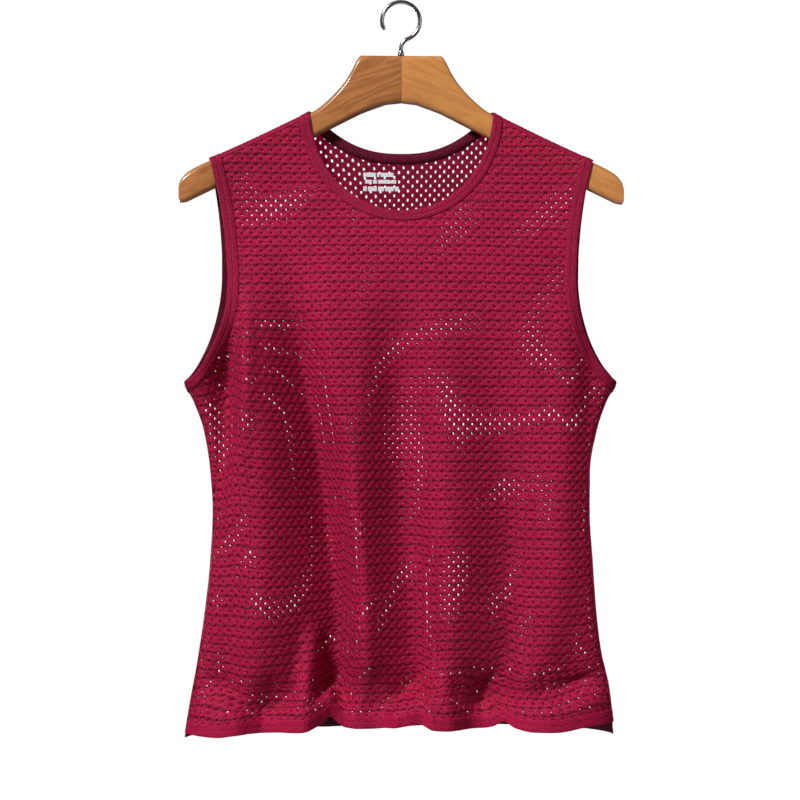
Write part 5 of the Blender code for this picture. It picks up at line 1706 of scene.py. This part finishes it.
def set_camera():
    camera = bpy.data.cameras.new("camera")
    made = bpy.data.objects.new("camera", camera)
    bpy.context.scene.collection.objects.link(made)
    bpy.context.scene.camera = made
    turn = math.radians(CAMERA_TURN)
    aim = Vector(CAMERA_AIM)
    away = Vector((math.sin(turn), -math.cos(turn), 0.0))
    made.location = aim + away * CAMERA_FAR
    made.rotation_euler = away.to_track_quat("Z", "Y").to_euler()
    camera.sensor_width = 36.0
    camera.lens = 36.0 * CAMERA_FAR / PICTURE_WIDTH


def floor(finish):
    """A pale round floor well below the garment."""
    turns = np.linspace(0, 2 * math.pi, 96, endpoint=False)
    rings = []
    for level in (FLOOR_LEVEL, FLOOR_LEVEL - 0.01):
        rings.append([(1.3 * math.cos(t), 1.3 * math.sin(t), level) for t in turns])
    vertices = np.array(rings).reshape(-1, 3)
    faces = [tuple(range(96)), tuple(range(191, 95, -1))]
    faces += [(k, 96 + k, 96 + (k + 1) % 96, (k + 1) % 96) for k in range(96)]
    mesh = bpy.data.meshes.new("floor")
    mesh.from_pydata([tuple(v) for v in vertices], [], faces)
    mesh.materials.append(finish)
    made = bpy.data.objects.new("floor", mesh)
    bpy.context.scene.collection.objects.link(made)
    outward(made)


# ------------------------------------------------------------------ the scene
def garment():
    knit = cloth_group()
    net_loops, rib_loops = (0.0011, 0.0009), (0.0009, 0.0012)
    mesh_knit = cloth_material(
        "mesh_knit", knit, NET_COLOUR, NET_PINK, net_loops, (1.0, 0.8, 0.50, 0.6, 0.15), 0.62, 0.03
    )
    # The net's inside: painted shade in a darker copy of its colour, with a painted glow.
    inside = cloth_material(
        "mesh_knit_inside_painted_shade_glow", knit, NET_INSIDE_PAINTED_SHADE, NET_PINK, net_loops, (1.0, 1.0, 0.5, 0.8, 0.06), 0.75, 0.02,
        through=INSIDE_PAINTED_GLOW,
    )
    rib_looks = rib_loops, (1.0, 0.9, 0.0, 0.7, 0.08)
    rib = cloth_material("rib_knit", knit, BAND_COLOUR, NET_PINK, *rib_looks, 0.62, 0.04)
    # Painted shade for the insides of the bindings: a darker copy of their cloth.
    rib_inside_painted_shade = cloth_material("rib_inside_painted_shade", knit, BAND_INSIDE_PAINTED_SHADE, NET_PINK, *rib_looks, 0.75, 0.02)
    turned = cloth_material("hem_knit", knit, HEM_COLOUR, NET_PINK, *rib_looks, 0.62, 0.03)
    # Painted shade for the insides of the hems: a greyer dark copy of their cloth.
    turned_inside_painted_shade = cloth_material("hem_inside_painted_shade", knit, HEM_INSIDE_PAINTED_SHADE, NET_PINK, *rib_looks, 0.75, 0.02)
    tape = cloth_material(
        "seam_knit", knit, BAND_COLOUR, NET_PINK, net_loops, (1.0, 0.7, 0.0, 0.6, 0.08), 0.62, 0.05, "Object"
    )
    thread = speckled_material("thread", THREAD_COLOUR, BAND_COLOUR, 1400.0, 0.5)
    front = net("front", "front_net", mesh_knit, inside)
    back = net("back", "back_net", mesh_knit, inside)
    neck = neck_ring(rib, rib_inside_painted_shade)
    left = arm_ring("armhole_ribbing_left", -1, rib, rib_inside_painted_shade, "armhole_binding_left")
    right = arm_ring("armhole_ribbing_right", 1, rib, rib_inside_painted_shade, "armhole_binding_right")
    hems = [
        hem_strip("front", "front_hem_strip", turned, turned_inside_painted_shade, "hem_front"),
        hem_strip("back", "back_hem_strip", turned, turned_inside_painted_shade, "hem_back"),
    ]
    tapes = [
        shoulder_tape("shoulder_tape_left", -1, tape),
        shoulder_tape("shoulder_tape_right", 1, tape),
        side_tape("side_seam_left", -1, tape),
        side_tape("side_seam_right", 1, tape),
    ]
    stitches = all_stitches(thread)
    print_bars = neck_print(speckled_material("print_white", PRINT_COLOUR, PRINT_WORN, 900.0, 0.6))


def hanger():
    wood = wood_group()
    # Painted shade on the left half and painted light on the right half, besides the grain of each.
    left = wood_material("wood_left_painted_shade", wood, WOOD_LEFT_SHADED_GROUND, WOOD_LEFT_SHADED_FIGURE, 0.42, 1.0, 0.4)
    right = wood_material("wood_right_painted_light", wood, WOOD_RIGHT_LIT_GROUND, WOOD_RIGHT_LIT_FIGURE, -0.42, 0.7, 0.4)
    steel = plain_material("bright_steel", (0.62, 0.62, 0.64), 0.18, 1.0)
    pieces = [
        (wooden_arm("arm_left", -1, left, "hanger_arm_left"), "wood_left"),
        (wooden_arm("arm_right", 1, right, "hanger_arm_right"), "wood_right"),
        (collar("hook_foot", steel, "hook_collar"), "steel"),
        (wire("hook_wire", steel, "hanger_hook"), "steel"),
    ]


def main():
    garment()
    hanger()
    floor(plain_material("pale_floor", (0.82, 0.82, 0.82), 0.8))
    sky(SKY_LIGHT)
    for name, place, size, power in LIGHTS:
        area_light(name, place, (0.0, 0.0, -0.42), size, power)
    set_camera()
    plain_colours()


main()
